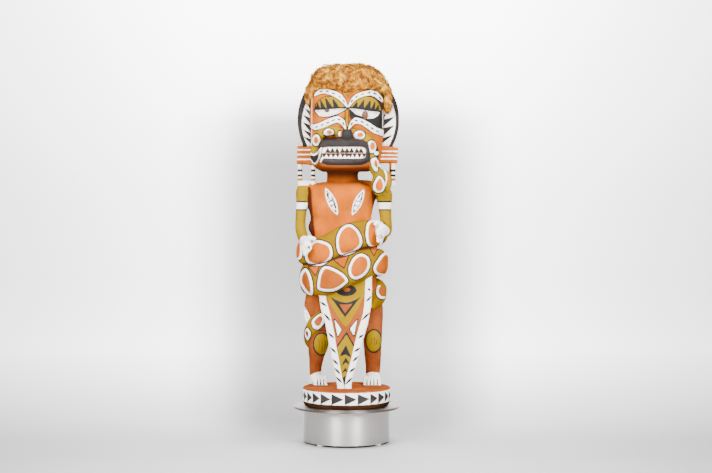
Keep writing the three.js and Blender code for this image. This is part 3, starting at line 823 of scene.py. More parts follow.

# Heights of the pendants' rings, half a ring's height, and the edges across of the brown strip on the right
# pendant's inner side, partly bare brown and partly painted shade.
PENDANT_INK = (542, 532)
PENDANT_BROWN = 524
PENDANT_RING = 2.5
BROWN_STRIP = (80, 90)

# Painting of the trunk, legs and apron, in the front view

# Leaves on the chest: two tips and the half width.
LEAVES = [((-41.8, 506.8), (-18, 453), 7.8), ((34.5, 503.5), (11.5, 453), 7.4)]
LEAF_MARKS = [
    [(-40, 501), (-35, 492)],
    [(-37, 491), (-31, 480)],
    [(-34, 479), (-28, 483)],
    [(-31, 469), (-24, 477)],
    [(-27, 464), (-21, 461)],
    [(-34, 500), (-29, 491)],
    [(-30, 488), (-26, 478)],
    [(-25, 474), (-22, 466)],
    [(29, 496), (24, 488)],
    [(31, 489), (26, 480)],
    [(26, 479), (19, 482)],
    [(22, 470), (16, 473)],
    [(18, 464), (14, 459)],
    [(32, 496), (30, 487)],
    [(20, 484), (17, 477)],
    [(28, 476), (22, 466)],
]
FINGER_LINES = [
    [(61, 412), (67, 405)], [(65, 413.5), (71, 406)], [(69, 413.5), (73.5, 408)],
    [(-81, 388.5), (-77, 383)], [(-77.5, 390), (-73.5, 385)],
]
# Heights of the white band on the arms and of each white shoulder, and where the white forearm starts.
ARM_BAND = (465, 478)
SHOULDER_CAPS = (512, 515)
FOREARM_FROM = -38
WRIST_NOTCH = [(-79, 391), (-72, 390.5), (-75, 385)]
KNEES = [(-50, 195, 15, 20.5), (54.6, 201, 15, 21)]
KNEE_MARKS = [[(-55, 203), (-54, 186)], [(-49, 205), (-48, 184)], [(-43, 202), (-43, 188)],
              [(50, 208), (50, 194)], [(56, 209), (56, 193)], [(61, 205), (60, 195)]]
KNEE_FOLD = [(-64, 219, 0.8), (-54, 222, 1.3), (-42, 221, 0.8)]
LEG_RINGS = [
    [(-51.8, 256.2), (-60, 251), (-68, 243), (-69.8, 235), (-66, 227), (-58, 224.4), (-50, 230),
     (-44, 239), (-44, 251), (-48, 255)],
    [(-79.2, 226.8), (-73.6, 221.2), (-71.8, 213), (-77.4, 202.4), (-81.8, 208), (-83.6, 215.4),
     (-82.4, 221.8)],
]
LEG_HEARTS = [
    [(-54, 250.6), (-61.4, 245), (-64.6, 239), (-61.8, 232.6), (-56.4, 230.6), (-51, 236),
     (-48.4, 244), (-50, 250)],
    [(-79.8, 221.8), (-76.2, 216.8), (-77.4, 209.2), (-81.2, 213), (-82.4, 218)],
]
THIGH_FIN_PAINT = [(-86.5, 273), (-78, 260.4), (-69.9, 241.8), (-73.5, 233), (-80.5, 237), (-86.5, 254)]
THIGH_FIN_MARKS = [
    [(-83.5, 266), (-80, 262)],
    [(-82.5, 257.5), (-78, 253)],
    [(-80.5, 249.5), (-76, 245.5)],
    [(-78, 242), (-74.5, 238.5)],
]
# Edges of the painted apron, as [up, left, right].
APRON_EDGES = [(111, -17.6, 9.1), (128, -21.3, 11.6), (147, -24.7, 17.3), (164, -28, 21.8),
               (188, -32.7, 27.3), (217, -37, 34.3), (256, -45.6, 46), (280, -52.4, 49),
               (300, -55, 49.6), (330, -56, 51)]
APRON_BORDER = 12.5
APRON_YELLOW_FROM = 290
APRON_YELLOW_V = [(-41, 293), (-31, 272), (-7, 234), (-1, 229), (5, 235), (25, 270), (36, 292)]
MOON, MOON_HALF = (-0.6, 302.3), (20.7, 11.4)
MOON_DOT, MOON_DOT_HALF = (0.9, 303.7), (6.8, 4.3)
APRON_BLACK_V = [(-32.7, 290), (-22.7, 284), (-12.7, 279.4), (-1.3, 277.6), (10, 279.9),
                 (20, 284.7), (28.7, 290), (-3, 248.4)]
APRON_BROWN_V = [(-14.9, 275.1), (-8.4, 274.1), (-1.3, 273.7), (5.9, 274.4), (12.3, 275.9), (-3, 255.9)]
APRON_FLAGS = [
    [(-23.9, 243.7), (-10.1, 223.7), (-17.7, 210.4), (-20.6, 224.4)],
    [(21.6, 243.7), (6.9, 225.1), (15.1, 211.6), (17.3, 224.4)],
]
APRON_WEDGE = [(0, 217.3), (-18.7, 190), (-16.6, 169), (-14.4, 153), (-12.3, 140), (-8.7, 127),
               (-4.4, 112), (0.6, 127), (4.1, 133), (7, 147), (11.3, 167), (15.6, 190)]
WEDGE_EDGE = [(-18.7, 190), (0, 217.3), (15.6, 190)]
CHEVRONS = [
    [(-1, 192.3), (10, 167.3), (-2.3, 174.4), (-13.7, 170.1)],
    [(-1.6, 168), (7, 153), (-2, 158.7), (-11.3, 148.7)],
    [(-2, 148), (3.4, 135.9), (-2.3, 141.6), (-9.4, 135.9)],
    [(-2.3, 131.6), (0.6, 127.3), (-4.4, 112.3), (-8.7, 125.9)],
]
APRON_DASHES = [
    [(-52, 279), (-40, 271)],
    [(-45, 256), (-32.7, 241.6)],
    [(-36.5, 217.3), (-25.5, 207)],
    [(-32.3, 188), (-20.9, 177.3)],
    [(-27, 163.7), (-16.6, 153.7)],
    [(-24, 146.6), (-12.3, 135)],
    [(-20.9, 128.7), (-9.4, 118)],
    [(43, 306), (47, 302)],
    [(39.4, 280), (49.4, 290)],
    [(30.9, 243), (45.9, 257)],
    [(24.3, 207), (33.5, 213.5)],
    [(15.6, 179.4), (27, 187.3)],
    [(12.7, 160), (23, 170)],
    [(6.3, 138.7), (17, 147.3)],
    [(-1.6, 115), (11.3, 127.3)],
]
TOE_GAPS = [-58.3, -52, -45.7, 41, 48, 55, 62]
# The white of the feet: how high it reaches, how far apart the feet stand, and how fast it falls away.
WHITE_FEET = 26.5
FEET_APART = 54
WHITE_FALL = 0.02

# Painted shade: how dark the red-brown is painted at heights on the neck and the chin, and the edges of the
# trunk's lighter front face, beyond which its sides beside the arms are painted darker as shade.
NECK_SHADE = [(510, 0), (516, 0.3), (524, 0.6), (534, 0.95)]
CHIN_SHADE = [(543, 0.9), (550, 0.7), (557, 0.5), (563, 0)]
TRUNK_SHADE_FROM = 410
TRUNK_FACE = [(415, -63, 56), (456, -67.5, 53), (497, -70, 50), (512, -72.5, 50)]

# Spots on the front of the great snake, as outlines in the front view.
COIL_FRONT = [
    [(7, 434.5), (-10.5, 427), (-20, 407), (-18.5, 383), (-8, 371.7), (17, 379.3), (31.5, 396.7),
     (24.5, 420.5)],
    [(-60.5, 403), (-75.5, 390.5), (-83, 370.5), (-75.5, 355.5), (-53, 351.7), (-33, 363),
     (-28, 379.3), (-35.5, 395.5)],
    [(-38, 350.5), (-51.7, 343), (-58.5, 316), (-54.3, 302.5), (-25.5, 300.5), (-0.5, 315.5),
     (2, 324.3), (-10.5, 338)],
    [(29.5, 375.5), (14.5, 368), (4.5, 348), (7, 330.5), (19.5, 324.3), (37, 333), (47, 350.5),
     (44, 368)],
    [(49, 443), (40, 432), (39, 407), (45, 391), (60, 386), (70, 391), (74, 415), (66, 441)],
    [(75.7, 378), (62, 363), (54, 346.7), (59.5, 334.3), (72, 330.5), (84, 332), (92, 345),
     (90, 372)],
    [(-80.5, 346), (-91, 338), (-94, 318), (-80, 296), (-67.5, 294), (-70, 326)],
    [(-92, 409), (-88, 390), (-91, 366), (-106, 366), (-106, 408)],
    [(71, 321), (61, 309), (60, 295), (69, 285.5), (84, 288), (87, 305), (82, 319)],
]
COIL_WEDGES = [
    [(46, 389.5), (62, 388.5), (55, 373)],
    [(-24.3, 363), (3.3, 371), (-5.5, 348)],
    [(-75.5, 350), (-56, 349.5), (-62, 333)],
    [(44.5, 326), (60, 325), (52, 315.5)],
]
# Spots on the sides and back of the great snake: the turn along its body, and half their size.
COIL_BACK = [-205, -160, -115, 108, 150, 194, 236, 450, 495, 540]
COIL_BACK_HALF = (26, 20)
COIL_SPOT_BOXY = 2.6
FRONT_TURN = 88
SPOT_RING = 5
SPOT_LINE = 2.5
GROOVE_HALF = 1.6

# Triangles round the base: where each starts, in degrees round from the front.
TRIANGLES_FRONT = [-74, -62, -49, -35, -19.3, -2.2, 14.5, 32.1, 45.3, 59.6, 72]
TRIANGLES_BACK = 15
TRIANGLE_PAUSE = 2.2
TRIANGLE_TURN = 13
TRIANGLE_LOW, TRIANGLE_HIGH = -25.3, -4.6
BAND_LOW, BAND_HIGH = -26.2, -2.6

# How far back the paint of the front, of the toes and of the thigh's fin reaches.
FRONT_DEPTH = 20
TOE_DEPTH = 32
FIN_DEPTH = 8

# Carved depths, in millimetres.
SPOT_RISE, SPOT_CUT, GROOVE_CUT = 1.8, 1.3, 2.2
BAND_RISE, LID_RISE, EYE_CUT = 2.2, 1.0, 3.2
MOUTH_CUT, TOOTH_RISE = 4.5, 2.2
EAR_CUT, LEAF_RISE, KNEE_RISE = 1.2, 0.7, 1.2
RING_RISE, LEG_RING_RISE, RING_CUT = 1.2, 1.0, 0.8

def tooth_gaps(at):
    """Dark gaps between the teeth, upper and lower."""
    half, bite = TOOTH_GAP_HALF, MOUTH_GAP
    shapes = []
    for x in UPPER_GAPS:
        shapes.append(patch(at, [(x - half, bite), (x + half, bite), (x, MOUTH_TOP - GUM)]))
    for x in LOWER_GAPS:
        shapes.append(patch(at, [(x - half, bite), (x, MOUTH_BOTTOM + GUM), (x + half, bite)]))
    return union(*shapes)


def mouth(at):
    """The row of teeth."""
    middle = ((MOUTH_LEFT + MOUTH_RIGHT) / 2, (MOUTH_TOP + MOUTH_BOTTOM) / 2)
    half = ((MOUTH_RIGHT - MOUTH_LEFT) / 2, (MOUTH_TOP - MOUTH_BOTTOM) / 2)
    return oval(at, middle, half, 9)


def coil_rows():
    """The great snake's smoothed stations, and the turn of each in degrees."""
    rows = flow(COIL_STATIONS, COIL_STEPS)
    return rows, COIL["start"] + COIL["step"] * np.arange(len(rows)) / COIL_STEPS


def around_coil(points):
    """Places round the coil as [turn in degrees from the front, height]."""
    x = points[:, 0] - COIL["x"]
    y = (points[:, 1] - COIL["y"]) * COIL["reach_x"] / COIL["reach_y"]
    return np.stack([np.degrees(np.arctan2(x, -y)), points[:, 2]], 1)


def coil_spots(points):
    """Distance inside the nearest spot of the great snake."""
    at = around_coil(points)
    rows, turns = coil_rows()
    best = np.full(len(points), -1e9)
    for turn in COIL_BACK:
        height = float(np.interp(turn, turns, rows[:, 0]))
        away = (at[:, 0] - turn + 180) % 360 - 180
        arc = np.radians(away) * COIL_SKIN
        spot = np.stack([arc, at[:, 1] - height], 1)
        best = np.maximum(best, oval(spot, (0, 0), COIL_BACK_HALF, COIL_SPOT_BOXY))
    view = front_view(points)
    facing = np.abs(at[:, 0]) < FRONT_TURN
    front = union(*[blob(view, outline) for outline in COIL_FRONT])
    return np.where(facing, front, best)


def coil_grooves(points):
    """Distance inside the dark grooves where one turn of the great snake lies on the next."""
    at = around_coil(points)
    rows, turns = coil_rows()
    best = np.full(len(points), -1e9)
    for start in (-360, 0, 360):
        low, high = at[:, 0] + start, at[:, 0] + start + 360
        there = (low > turns[0]) & (high < turns[-1])
        top = np.interp(low, turns, rows[:, 0] + rows[:, 2])
        bottom = np.interp(high, turns, rows[:, 0] - rows[:, 2])
        away = GROOVE_HALF - np.abs(at[:, 1] - (top + bottom) / 2)
        best = np.where(there, np.maximum(best, away), best)
    return best


def ear_depth(at):
    """Distance in from the rim of either ear, in the front view."""
    reach = np.where(at[:, 0] < 0, EAR["reach"][-1], EAR["reach"][1])
    up = EAR["middle"] + BASE_TOP
    round_ear = np.sqrt((at[:, 0] / reach) ** 2 + ((at[:, 1] - up) / EAR["rise"]) ** 2)
    return (1 - round_ear) * reach


def inside_ear_rim(at):
    """Distance inside the dark rim of either ear."""
    ups, left, right = zip(*EAR_RIM)
    width = np.where(at[:, 0] < 0, np.interp(at[:, 1], ups, left), np.interp(at[:, 1], ups, right))
    return ear_depth(at) - width


def base_triangles(points):
    """Distance inside the row of triangles round the base."""
    turn = np.degrees(np.arctan2(points[:, 0], -points[:, 1]))
    back_from = TRIANGLES_FRONT[-1] + TRIANGLE_TURN
    step = (360 - back_from + TRIANGLES_FRONT[0]) / TRIANGLES_BACK
    starts = TRIANGLES_FRONT + [back_from + step * k for k in range(TRIANGLES_BACK)]
    best = np.full(len(points), -1e9)
    millimetres = math.radians(1) * BASE_RADIUS
    middle = (TRIANGLE_LOW + TRIANGLE_HIGH) / 2
    for start, after in zip(starts, starts[1:] + [starts[0] + 360]):
        away = (turn - start + 180) % 360 - 180
        at = np.stack([away * millimetres, points[:, 2]], 1)
        tip = (after - start) * millimetres - TRIANGLE_PAUSE
        best = np.maximum(best, patch(at, [(0, TRIANGLE_LOW), (0, TRIANGLE_HIGH), (tip, middle)]))
    return best


def spots(at, rows, part):
    """Distance inside the ring, part 0, or the heart, part 1, of any of the spots."""
    return union(*[oval(at, row[part][:2], row[part][2:]) for row in rows])


NONE = -9.0
EVERYWHERE = 9.0
PAINTS = ("yellow", "black", "white", "brown", "ink", "fresh", "dusty", "earth")


def painting(points, owner, names):
    """The distance inside each paint, as {paint: values}, by the form that each point is on."""
    at = front_view(points)
    front = points[:, 1] < FRONT_DEPTH
    layers = {paint: np.full(len(points), NONE) for paint in PAINTS}

    def lay(paint, forms_named, distance, where=True):
        """Lays a paint on the forms named, over what it covers there already."""
        on = np.isin(owner, [names.index(name) for name in forms_named.split()]) & where
        layers[paint][on] = np.maximum(layers[paint][on], np.broadcast_to(distance, len(points))[on])

    # Base and feet
    away = np.hypot(points[:, 0], points[:, 1])
    side = away - BASE_RADIUS + BASE_TUCK
    ripple = 0.5 * hand_wobble(points, 9, 8)
    lay("earth", "base", BAND_LOW - points[:, 2])
    triangles = base_triangles(points) + 0.3
    band = both(points[:, 2] - BAND_LOW + ripple, BAND_HIGH + ripple - points[:, 2], side)
    lay("dusty", "base", EVERYWHERE)
    lay("black", "base", both(triangles + 0.5, band))
    lay("white", "base", both(band, -triangles))
    dome = WHITE_FEET + ripple - WHITE_FALL * (np.abs(points[:, 0]) - FEET_APART) ** 2
    lay("white", "feet legs", dome - points[:, 2])
    gaps = union(*[stroke(at, [(x, 125, 0.8), (x, 111.5, 1.7)]) for x in TOE_GAPS])
    lay("ink", "feet", gaps, points[:, 1] < TOE_DEPTH)

    # Legs
    fin = patch(at, THIGH_FIN_PAINT)
    marks = union(*[stroke(at, mark, 0.9) for mark in THIGH_FIN_MARKS])
    lay("black", "legs thigh_fin", rim(fin, 1.5), points[:, 1] < FIN_DEPTH)
    lay("white", "legs thigh_fin", fin, points[:, 1] < FIN_DEPTH)
    lay("ink", "legs thigh_fin", marks, points[:, 1] < FIN_DEPTH)
    knees = union(*[oval(at, knee[:2], knee[2:]) for knee in KNEES])
    lay("yellow", "legs", knees + 1, front)
    lay("black", "legs", rim(knees, 2.4), front)
    lay("fresh", "legs", EVERYWHERE)
    lay("ink", "legs", union(*[stroke(at, mark, 0.7) for mark in KNEE_MARKS]), front)
    lay("ink", "legs", stroke(at, KNEE_FOLD), front)
    rings = union(*[blob(at, ring) for ring in LEG_RINGS])
    lay("yellow", "leg_snake", EVERYWHERE)
    lay("black", "leg_snake", rings + 2.2)
    lay("white", "leg_snake", rings)
    lay("brown", "leg_snake", union(*[blob(at, heart) for heart in LEG_HEARTS]))

    # Apron
    ups, lefts, rights = zip(*APRON_EDGES)
    left, right = np.interp(at[:, 1], ups, lefts), np.interp(at[:, 1], ups, rights)
    border = APRON_BORDER - both(at[:, 0] - left, right - at[:, 0])
    flags = union(*[patch(at, flag) for flag in APRON_FLAGS])
    wedge = patch(at, APRON_WEDGE)
    moon = oval(at, MOON, MOON_HALF)
    yellow_field = union(at[:, 1] - APRON_YELLOW_FROM, patch(at, APRON_YELLOW_V))
    lay("yellow", "apron", both(union(yellow_field, wedge), 1 - border))
    lay("fresh", "apron", EVERYWHERE)
    wedge_edge = stroke(at, WEDGE_EDGE, 1.6)
    chevrons = [patch(at, chevron) + 0.3 for chevron in CHEVRONS]
    black = union(moon, patch(at, APRON_BLACK_V), flags + 2, wedge_edge, *chevrons)
    lay("black", "apron", both(black, -border))
    lay("white", "apron", union(border, flags))
    lay("brown", "apron", union(oval(at, MOON_DOT, MOON_DOT_HALF), patch(at, APRON_BROWN_V)))
    slants = []
    for start, end in APRON_DASHES:
        middle = ((start[0] + end[0]) / 2, (start[1] + end[1]) / 2)
        slants.append(stroke(at, [(*start, 1.0), (*middle, 2.4), (*end, 1.0)]))
    lay("ink", "apron", both(union(*slants), border + 1))

    # Trunk and arms
    leaves = union(*[lens(at, *leaf) for leaf in LEAVES])
    lay("white", "trunk", leaves + 0.6, front)
    lay("ink", "trunk", 0.75 - np.abs(leaves - 2.4), front)
    lay("ink", "trunk", both(union(*[stroke(at, mark, 1.0) for mark in LEAF_MARKS]), leaves - 2), front)
    lay("yellow", "arms", EVERYWHERE)
    lay("fresh", "arms", EVERYWHERE)
    band = both(at[:, 1] - ARM_BAND[0], ARM_BAND[1] - at[:, 1])
    cap = at[:, 1] - np.where(at[:, 0] < 0, *SHOULDER_CAPS)
    lay("black", "arms", band + 3.0)
    lay("white", "arms", union(band, cap, FOREARM_FROM - points[:, 1]))
    lay("white", "hands", EVERYWHERE)
    lay("ink", "hands", union(*[stroke(at, line, 0.8) for line in FINGER_LINES], patch(at, WRIST_NOTCH)))

    # Great snake
    spot = coil_spots(points)
    groove = coil_grooves(points)
    wedges = union(*[patch(at, outline) for outline in COIL_WEDGES])
    lay("yellow", "coil", EVERYWHERE)
    lay("black", "coil", union(spot + SPOT_LINE, groove, np.where(front, wedges + 2, NONE)))
    lay("white", "coil", spot)
    lay("brown", "coil", union(spot - SPOT_RING, np.where(front, wedges, NONE)))
    lay("ink", "coil", groove - 0.3)

    # Head
    brows = union(*[stroke(at, brow) for brow in BROWS])
    cheeks = union(*[stroke(at, cheek) for cheek in CHEEKS])
    upper = union(*[patch(at, outline) for outline in UPPER_LENSES])
    lower = union(*[patch(at, outline) for outline in LOWER_LENSES])
    bands = union(brows, cheeks)
    strip = stroke(at, NOSE_STRIP, 2.4)
    lay("yellow", "head", union(upper, strip), front)
    lay("fresh", "head", EVERYWHERE)
    # The black under the left snake is partly painted shadow.
    black = union(bands + 1.8, lower + 2.3, rim(upper, 1.8), patch(at, DARK_CHEEK), patch(at, NOSE_TIP),
                  patch(at, RIGHT_LID), patch(at, UNDER_SNAKE), rim(strip, 1.6))
    lay("black", "head", black, front)
    lay("white", "head", union(bands, lower), front)
    lay("white", "head nose_snakes", union(*[stroke(at, line, 0.6) for line in FACE_EDGES]), front)
    marks = [dashes(at, line, 13, 4.4, 1.5, 6) for line in BROWS]
    marks += [dashes(at, line, 12, 4.4, 1.5, 5) for line in CHEEKS]
    dashed = both(union(*marks), bands - 0.5)
    lashes = [both(patch(at, lash) + 1.0, upper + 1) for lash in LASHES]
    lines = [stroke(at, line, 1.4) for line in LID_LINES]
    lay("ink", "head", union(*lashes, *lines, patch(at, EYE_REST_STAIN), dashed), front)

    # Mouth
    curve = union(*[stroke(at, line) for line in TAIL_LINES])
    lay("black", "muzzle", EVERYWHERE)
    lay("dusty", "muzzle", EVERYWHERE)
    lay("white", "muzzle", union(mouth(at), curve))
    lay("brown", "muzzle", both(mouth(at), 0.9 - np.abs(at[:, 1] - MOUTH_GAP)))
    off_bite = np.abs(at[:, 1] - MOUTH_GAP) - 0.7
    lay("ink", "muzzle", both(tooth_gaps(at) + 0.7, mouth(at) + 0.5, off_bite))

    # Ears, bars and pendants
    lay("black", "ears", EVERYWHERE)
    ear_face = -2 - points[:, 1]
    thorns = union(*[patch(at, thorn) + 0.3 for thorn in THORNS])
    lay("white", "ears", both(inside_ear_rim(at), ear_face))
    lay("ink", "ears", both(thorns, ear_face))
    lay("white", "bars", union(*[stroke(at, line, 1.35) for line in BAR_LINES]))
    lay("white", "pendants", EVERYWHERE)
    lay("ink", "pendants", union(*[PENDANT_RING - np.abs(at[:, 1] - up) for up in PENDANT_INK]))
    # The brown strip on the right pendant's inner side is partly painted shade.
    strip = both(at[:, 0] - BROWN_STRIP[0], BROWN_STRIP[1] - at[:, 0])
    lay("brown", "pendants", union(PENDANT_RING - np.abs(at[:, 1] - PENDANT_BROWN), strip))

    # Nose snakes
    beads = union(*[oval(at, bead[:2], bead[2:]) for bead in NOSE_BEADS])
    loose = union(*[blob(at, ring) for ring in SNAKE_RINGS])
    ring = union(spots(at, NOSE_SPOTS, 0), beads, loose)
    tail = patch(at, TAIL)
    lay("yellow", "nose_snakes", EVERYWHERE)
    lay("fresh", "nose_snakes", EVERYWHERE)
    lay("black", "nose_snakes head", union(tail, both(curve + 1.2, tail + 4)), front)
    lay("black", "nose_snakes", union(ring + 2.2, patch(at, SNAKE_BACK)))
    lay("white", "nose_snakes head", both(curve, tail + 5), front)
    lay("white", "nose_snakes", union(ring, stroke(at, RIBBON_EDGE)))
    hearts = union(*[blob(at, heart) for heart in SNAKE_HEARTS])
    lay("brown", "nose_snakes", union(spots(at, NOSE_SPOTS, 1), hearts, stroke(at, RIBBON_FLUSH)))
    return layers


def painted_shade(points, owner, names):
    """How much painted shade darkens the red-brown, from 0 to 1, on the neck, under the chin and on the
    trunk beside the arms.
    """
    at = front_view(points)
    out = np.zeros(len(points))
    trunk = (owner == names.index("trunk")) & (at[:, 1] > TRUNK_SHADE_FROM)
    ups, lefts, rights = zip(*TRUNK_FACE)
    left, right = np.interp(at[:, 1], ups, lefts), np.interp(at[:, 1], ups, rights)
    beyond = np.maximum(left - at[:, 0], at[:, 0] - right)
    side = np.where(at[:, 1] < NECK_SHADE[0][0], np.clip(beyond / 3 + 0.5, 0, 1), 0)
    out[trunk] = np.maximum(side, np.interp(at[:, 1], *zip(*NECK_SHADE)))[trunk]
    chin = np.isin(owner, [names.index("head"), names.index("chin")])
    out[chin] = np.interp(at[chin, 1], *zip(*CHIN_SHADE))
    return out


def relief(points, owner, names):
    """How far the knife raised or sank each point, in millimetres."""
    at = front_view(points)
    front = points[:, 1] < 0
    out = np.zeros(len(points))

    def step(distance, soft):
        """0 outside a shape and 1 inside, smooth over that width at its edge."""
        t = np.clip(distance / soft * 0.5 + 0.5, 0, 1)
        return t * t * (3 - 2 * t)

    def cut(name, amount, where=True):
        """Raises a form by an amount, or sinks it by a negative one."""
        on = (owner == names.index(name)) & where
        out[on] += amount[on]

    spot = coil_spots(points)
    cut("coil", SPOT_RISE * step(spot - 3, 8) - SPOT_CUT * step(1.6 - np.abs(spot + 0.8), 1.6))
    cut("coil", -GROOVE_CUT * step(coil_grooves(points), 3))
    bands = union(*[stroke(at, line) for line in BROWS + CHEEKS])
    upper = union(*[patch(at, outline) for outline in UPPER_LENSES])
    lower = union(*[patch(at, outline) for outline in LOWER_LENSES])
    face = BAND_RISE * step(bands, 1.8) - EYE_CUT * step(lower, 1.8) + LID_RISE * step(upper - 2, 5)
    cut("head", face, front)
    cut("muzzle", -MOUTH_CUT * step(mouth(at) + 0.5, 1.5), front)
    teeth = both(mouth(at) - 0.5, -tooth_gaps(at), np.abs(at[:, 1] - MOUTH_GAP) - 1.2)
    cut("muzzle", TOOTH_RISE * step(teeth, 1.6), front)
    cut("ears", -EAR_CUT * step(inside_ear_rim(at) - 0.5, 2), front)
    cut("trunk", LEAF_RISE * step(union(*[lens(at, *leaf) for leaf in LEAVES]), 2), front)
    rings = union(spots(at, NOSE_SPOTS, 0), *[blob(at, ring) for ring in SNAKE_RINGS])
    cut("nose_snakes", RING_RISE * step(rings - 2, 4) - RING_CUT * step(1.2 - np.abs(rings), 1.4))
    rings = union(*[blob(at, ring) for ring in LEG_RINGS])
    edge = step(1.2 - np.abs(rings + 0.8), 1.4)
    cut("leg_snake", LEG_RING_RISE * step(rings - 2, 3) - RING_CUT * edge)
    knees = union(*[oval(at, knee[:2], knee[2:]) for knee in KNEES])
    cut("legs", KNEE_RISE * step(knees, 3), front)
    return out


# Meshes

def new_piece(name, points, faces, smooth=True):
    """A mesh object from points in metres in the row frame."""
    mesh = bpy.data.meshes.new(name)
    mesh.from_pydata([tuple(p) for p in points], [], [tuple(int(i) for i in f) for f in faces])
    mesh.validate()
    mesh.update()
    if smooth:
        mesh.shade_smooth()
    piece = bpy.data.objects.new(name, mesh)
    bpy.context.scene.collection.objects.link(piece)
    return piece


def outward(piece):
    """Turns every face of a piece outwards."""
    made = bmesh.new()
    made.from_mesh(piece.data)
    bmesh.ops.recalc_face_normals(made, faces=made.faces)
    made.to_mesh(piece.data)
    made.free()


def bake_modifiers(piece):
    """Applies a piece's modifiers to its mesh."""
    graph = bpy.context.evaluated_depsgraph_get()
    mesh = bpy.data.meshes.new_from_object(piece.evaluated_get(graph))
    old = piece.data
    piece.modifiers.clear()
    piece.data = mesh
    bpy.data.meshes.remove(old)
    mesh.name = piece.name
    mesh.shade_smooth()


def vertex_array(mesh, key="co"):
    """The places or the normals of a mesh's points."""
    values = np.empty(len(mesh.vertices) * 3, np.float32)
    mesh.vertices.foreach_get(key, values)
    return values.reshape(-1, 3).astype(float)


def edge_array(mesh):
    """The two points of each edge."""
    edges = np.empty(len(mesh.edges) * 2, np.int32)
    mesh.edges.foreach_get("vertices", edges)
    return edges.reshape(-1, 2)


def neighbour_mean(values, edges, count):
    """The mean over each point's neighbours."""
    total = np.zeros_like(values)
    for k in range(values.shape[1]):
        total[:, k] = np.bincount(edges[:, 0], values[edges[:, 1], k], count)
        total[:, k] += np.bincount(edges[:, 1], values[edges[:, 0], k], count)
    degree = np.bincount(edges.ravel(), minlength=count)
    return total / np.maximum(degree, 1)[:, None]


def relax(mesh, rounds, amount=0.5):
    """Evens out a mesh, with a push back after each round so that it doesn't shrink."""
    points, edges = vertex_array(mesh), edge_array(mesh)
    for _ in range(rounds):
        points = points + amount * (neighbour_mean(points, edges, len(points)) - points)
        points = points - amount * 0.92 * (neighbour_mean(points, edges, len(points)) - points)
    mesh.vertices.foreach_set("co", points.astype(np.float32).ravel())
    mesh.update()


def write_values(mesh, name, values):
    """Stores one value a point for the shaders."""
    layer = mesh.attributes.new(name, "FLOAT", "POINT")
    layer.data.foreach_set("value", np.asarray(values, np.float32))


def owners(points, tree, face_owner):
    """The form each point lies on, from the tree of all the forms. What lies lowest is the base."""
    found = np.zeros(len(points), int)
    for i, place in enumerate(points):
        found[i] = tree.find_nearest(Vector(place))[2]
    return np.where(points[:, 2] < BASE_LIP, 0, face_owner[found])


def hand_wobble(points, scale, seed):
    """Smooth noise from -1 to 1, one value a point."""
    shift = Vector((seed * 3.1, seed * 1.7, seed * 2.3))
    return np.array([noise.noise(Vector(p) / scale + shift) for p in points])


# Shader workbench

def scaled(colour, factor):
    """A colour made lighter or darker, with no part over 1."""
    return tuple(min(c * factor, 1.0) for c in colour)


def covering(colour):
    """A colour with full cover for a socket, or a reading as it is."""
    return colour if isinstance(colour, Reading) else (*colour, 1.0)[:4]


class Reading:
    """A socket whose arithmetic adds Math nodes."""

    def __init__(self, bench, socket):
        self.bench = bench
        self.socket = socket

    def worked(self, operation, first, second):
        """One Math node of two values."""
        return self.bench.node("ShaderNodeMath", {"operation": operation}, {0: first, 1: second})

    def __add__(self, other):
        return self.worked("ADD", self, other)

    def __radd__(self, other):
        return self.worked("ADD", other, self)

    def __sub__(self, other):
        return self.worked("SUBTRACT", self, other)

    def __rsub__(self, other):
        return self.worked("SUBTRACT", other, self)

    def __mul__(self, other):
        return self.worked("MULTIPLY", self, other)

    def __rmul__(self, other):
        return self.worked("MULTIPLY", other, self)

    def __truediv__(self, other):
        return self.worked("DIVIDE", self, other)

    def __rtruediv__(self, other):
        return self.worked("DIVIDE", other, self)

    def __pow__(self, other):
        return self.worked("POWER", self, other)

    def limited(self):
        """The value held between 0 and 1."""
        return self.bench.node("ShaderNodeClamp", {}, {"Value": self})

    def eased(self, low, high):
        """0 below low, 1 above high, smooth between."""
        values = {"Value": self, "From Min": low, "From Max": high}
        return self.bench.node("ShaderNodeMapRange", {"interpolation_type": "SMOOTHSTEP"}, values)


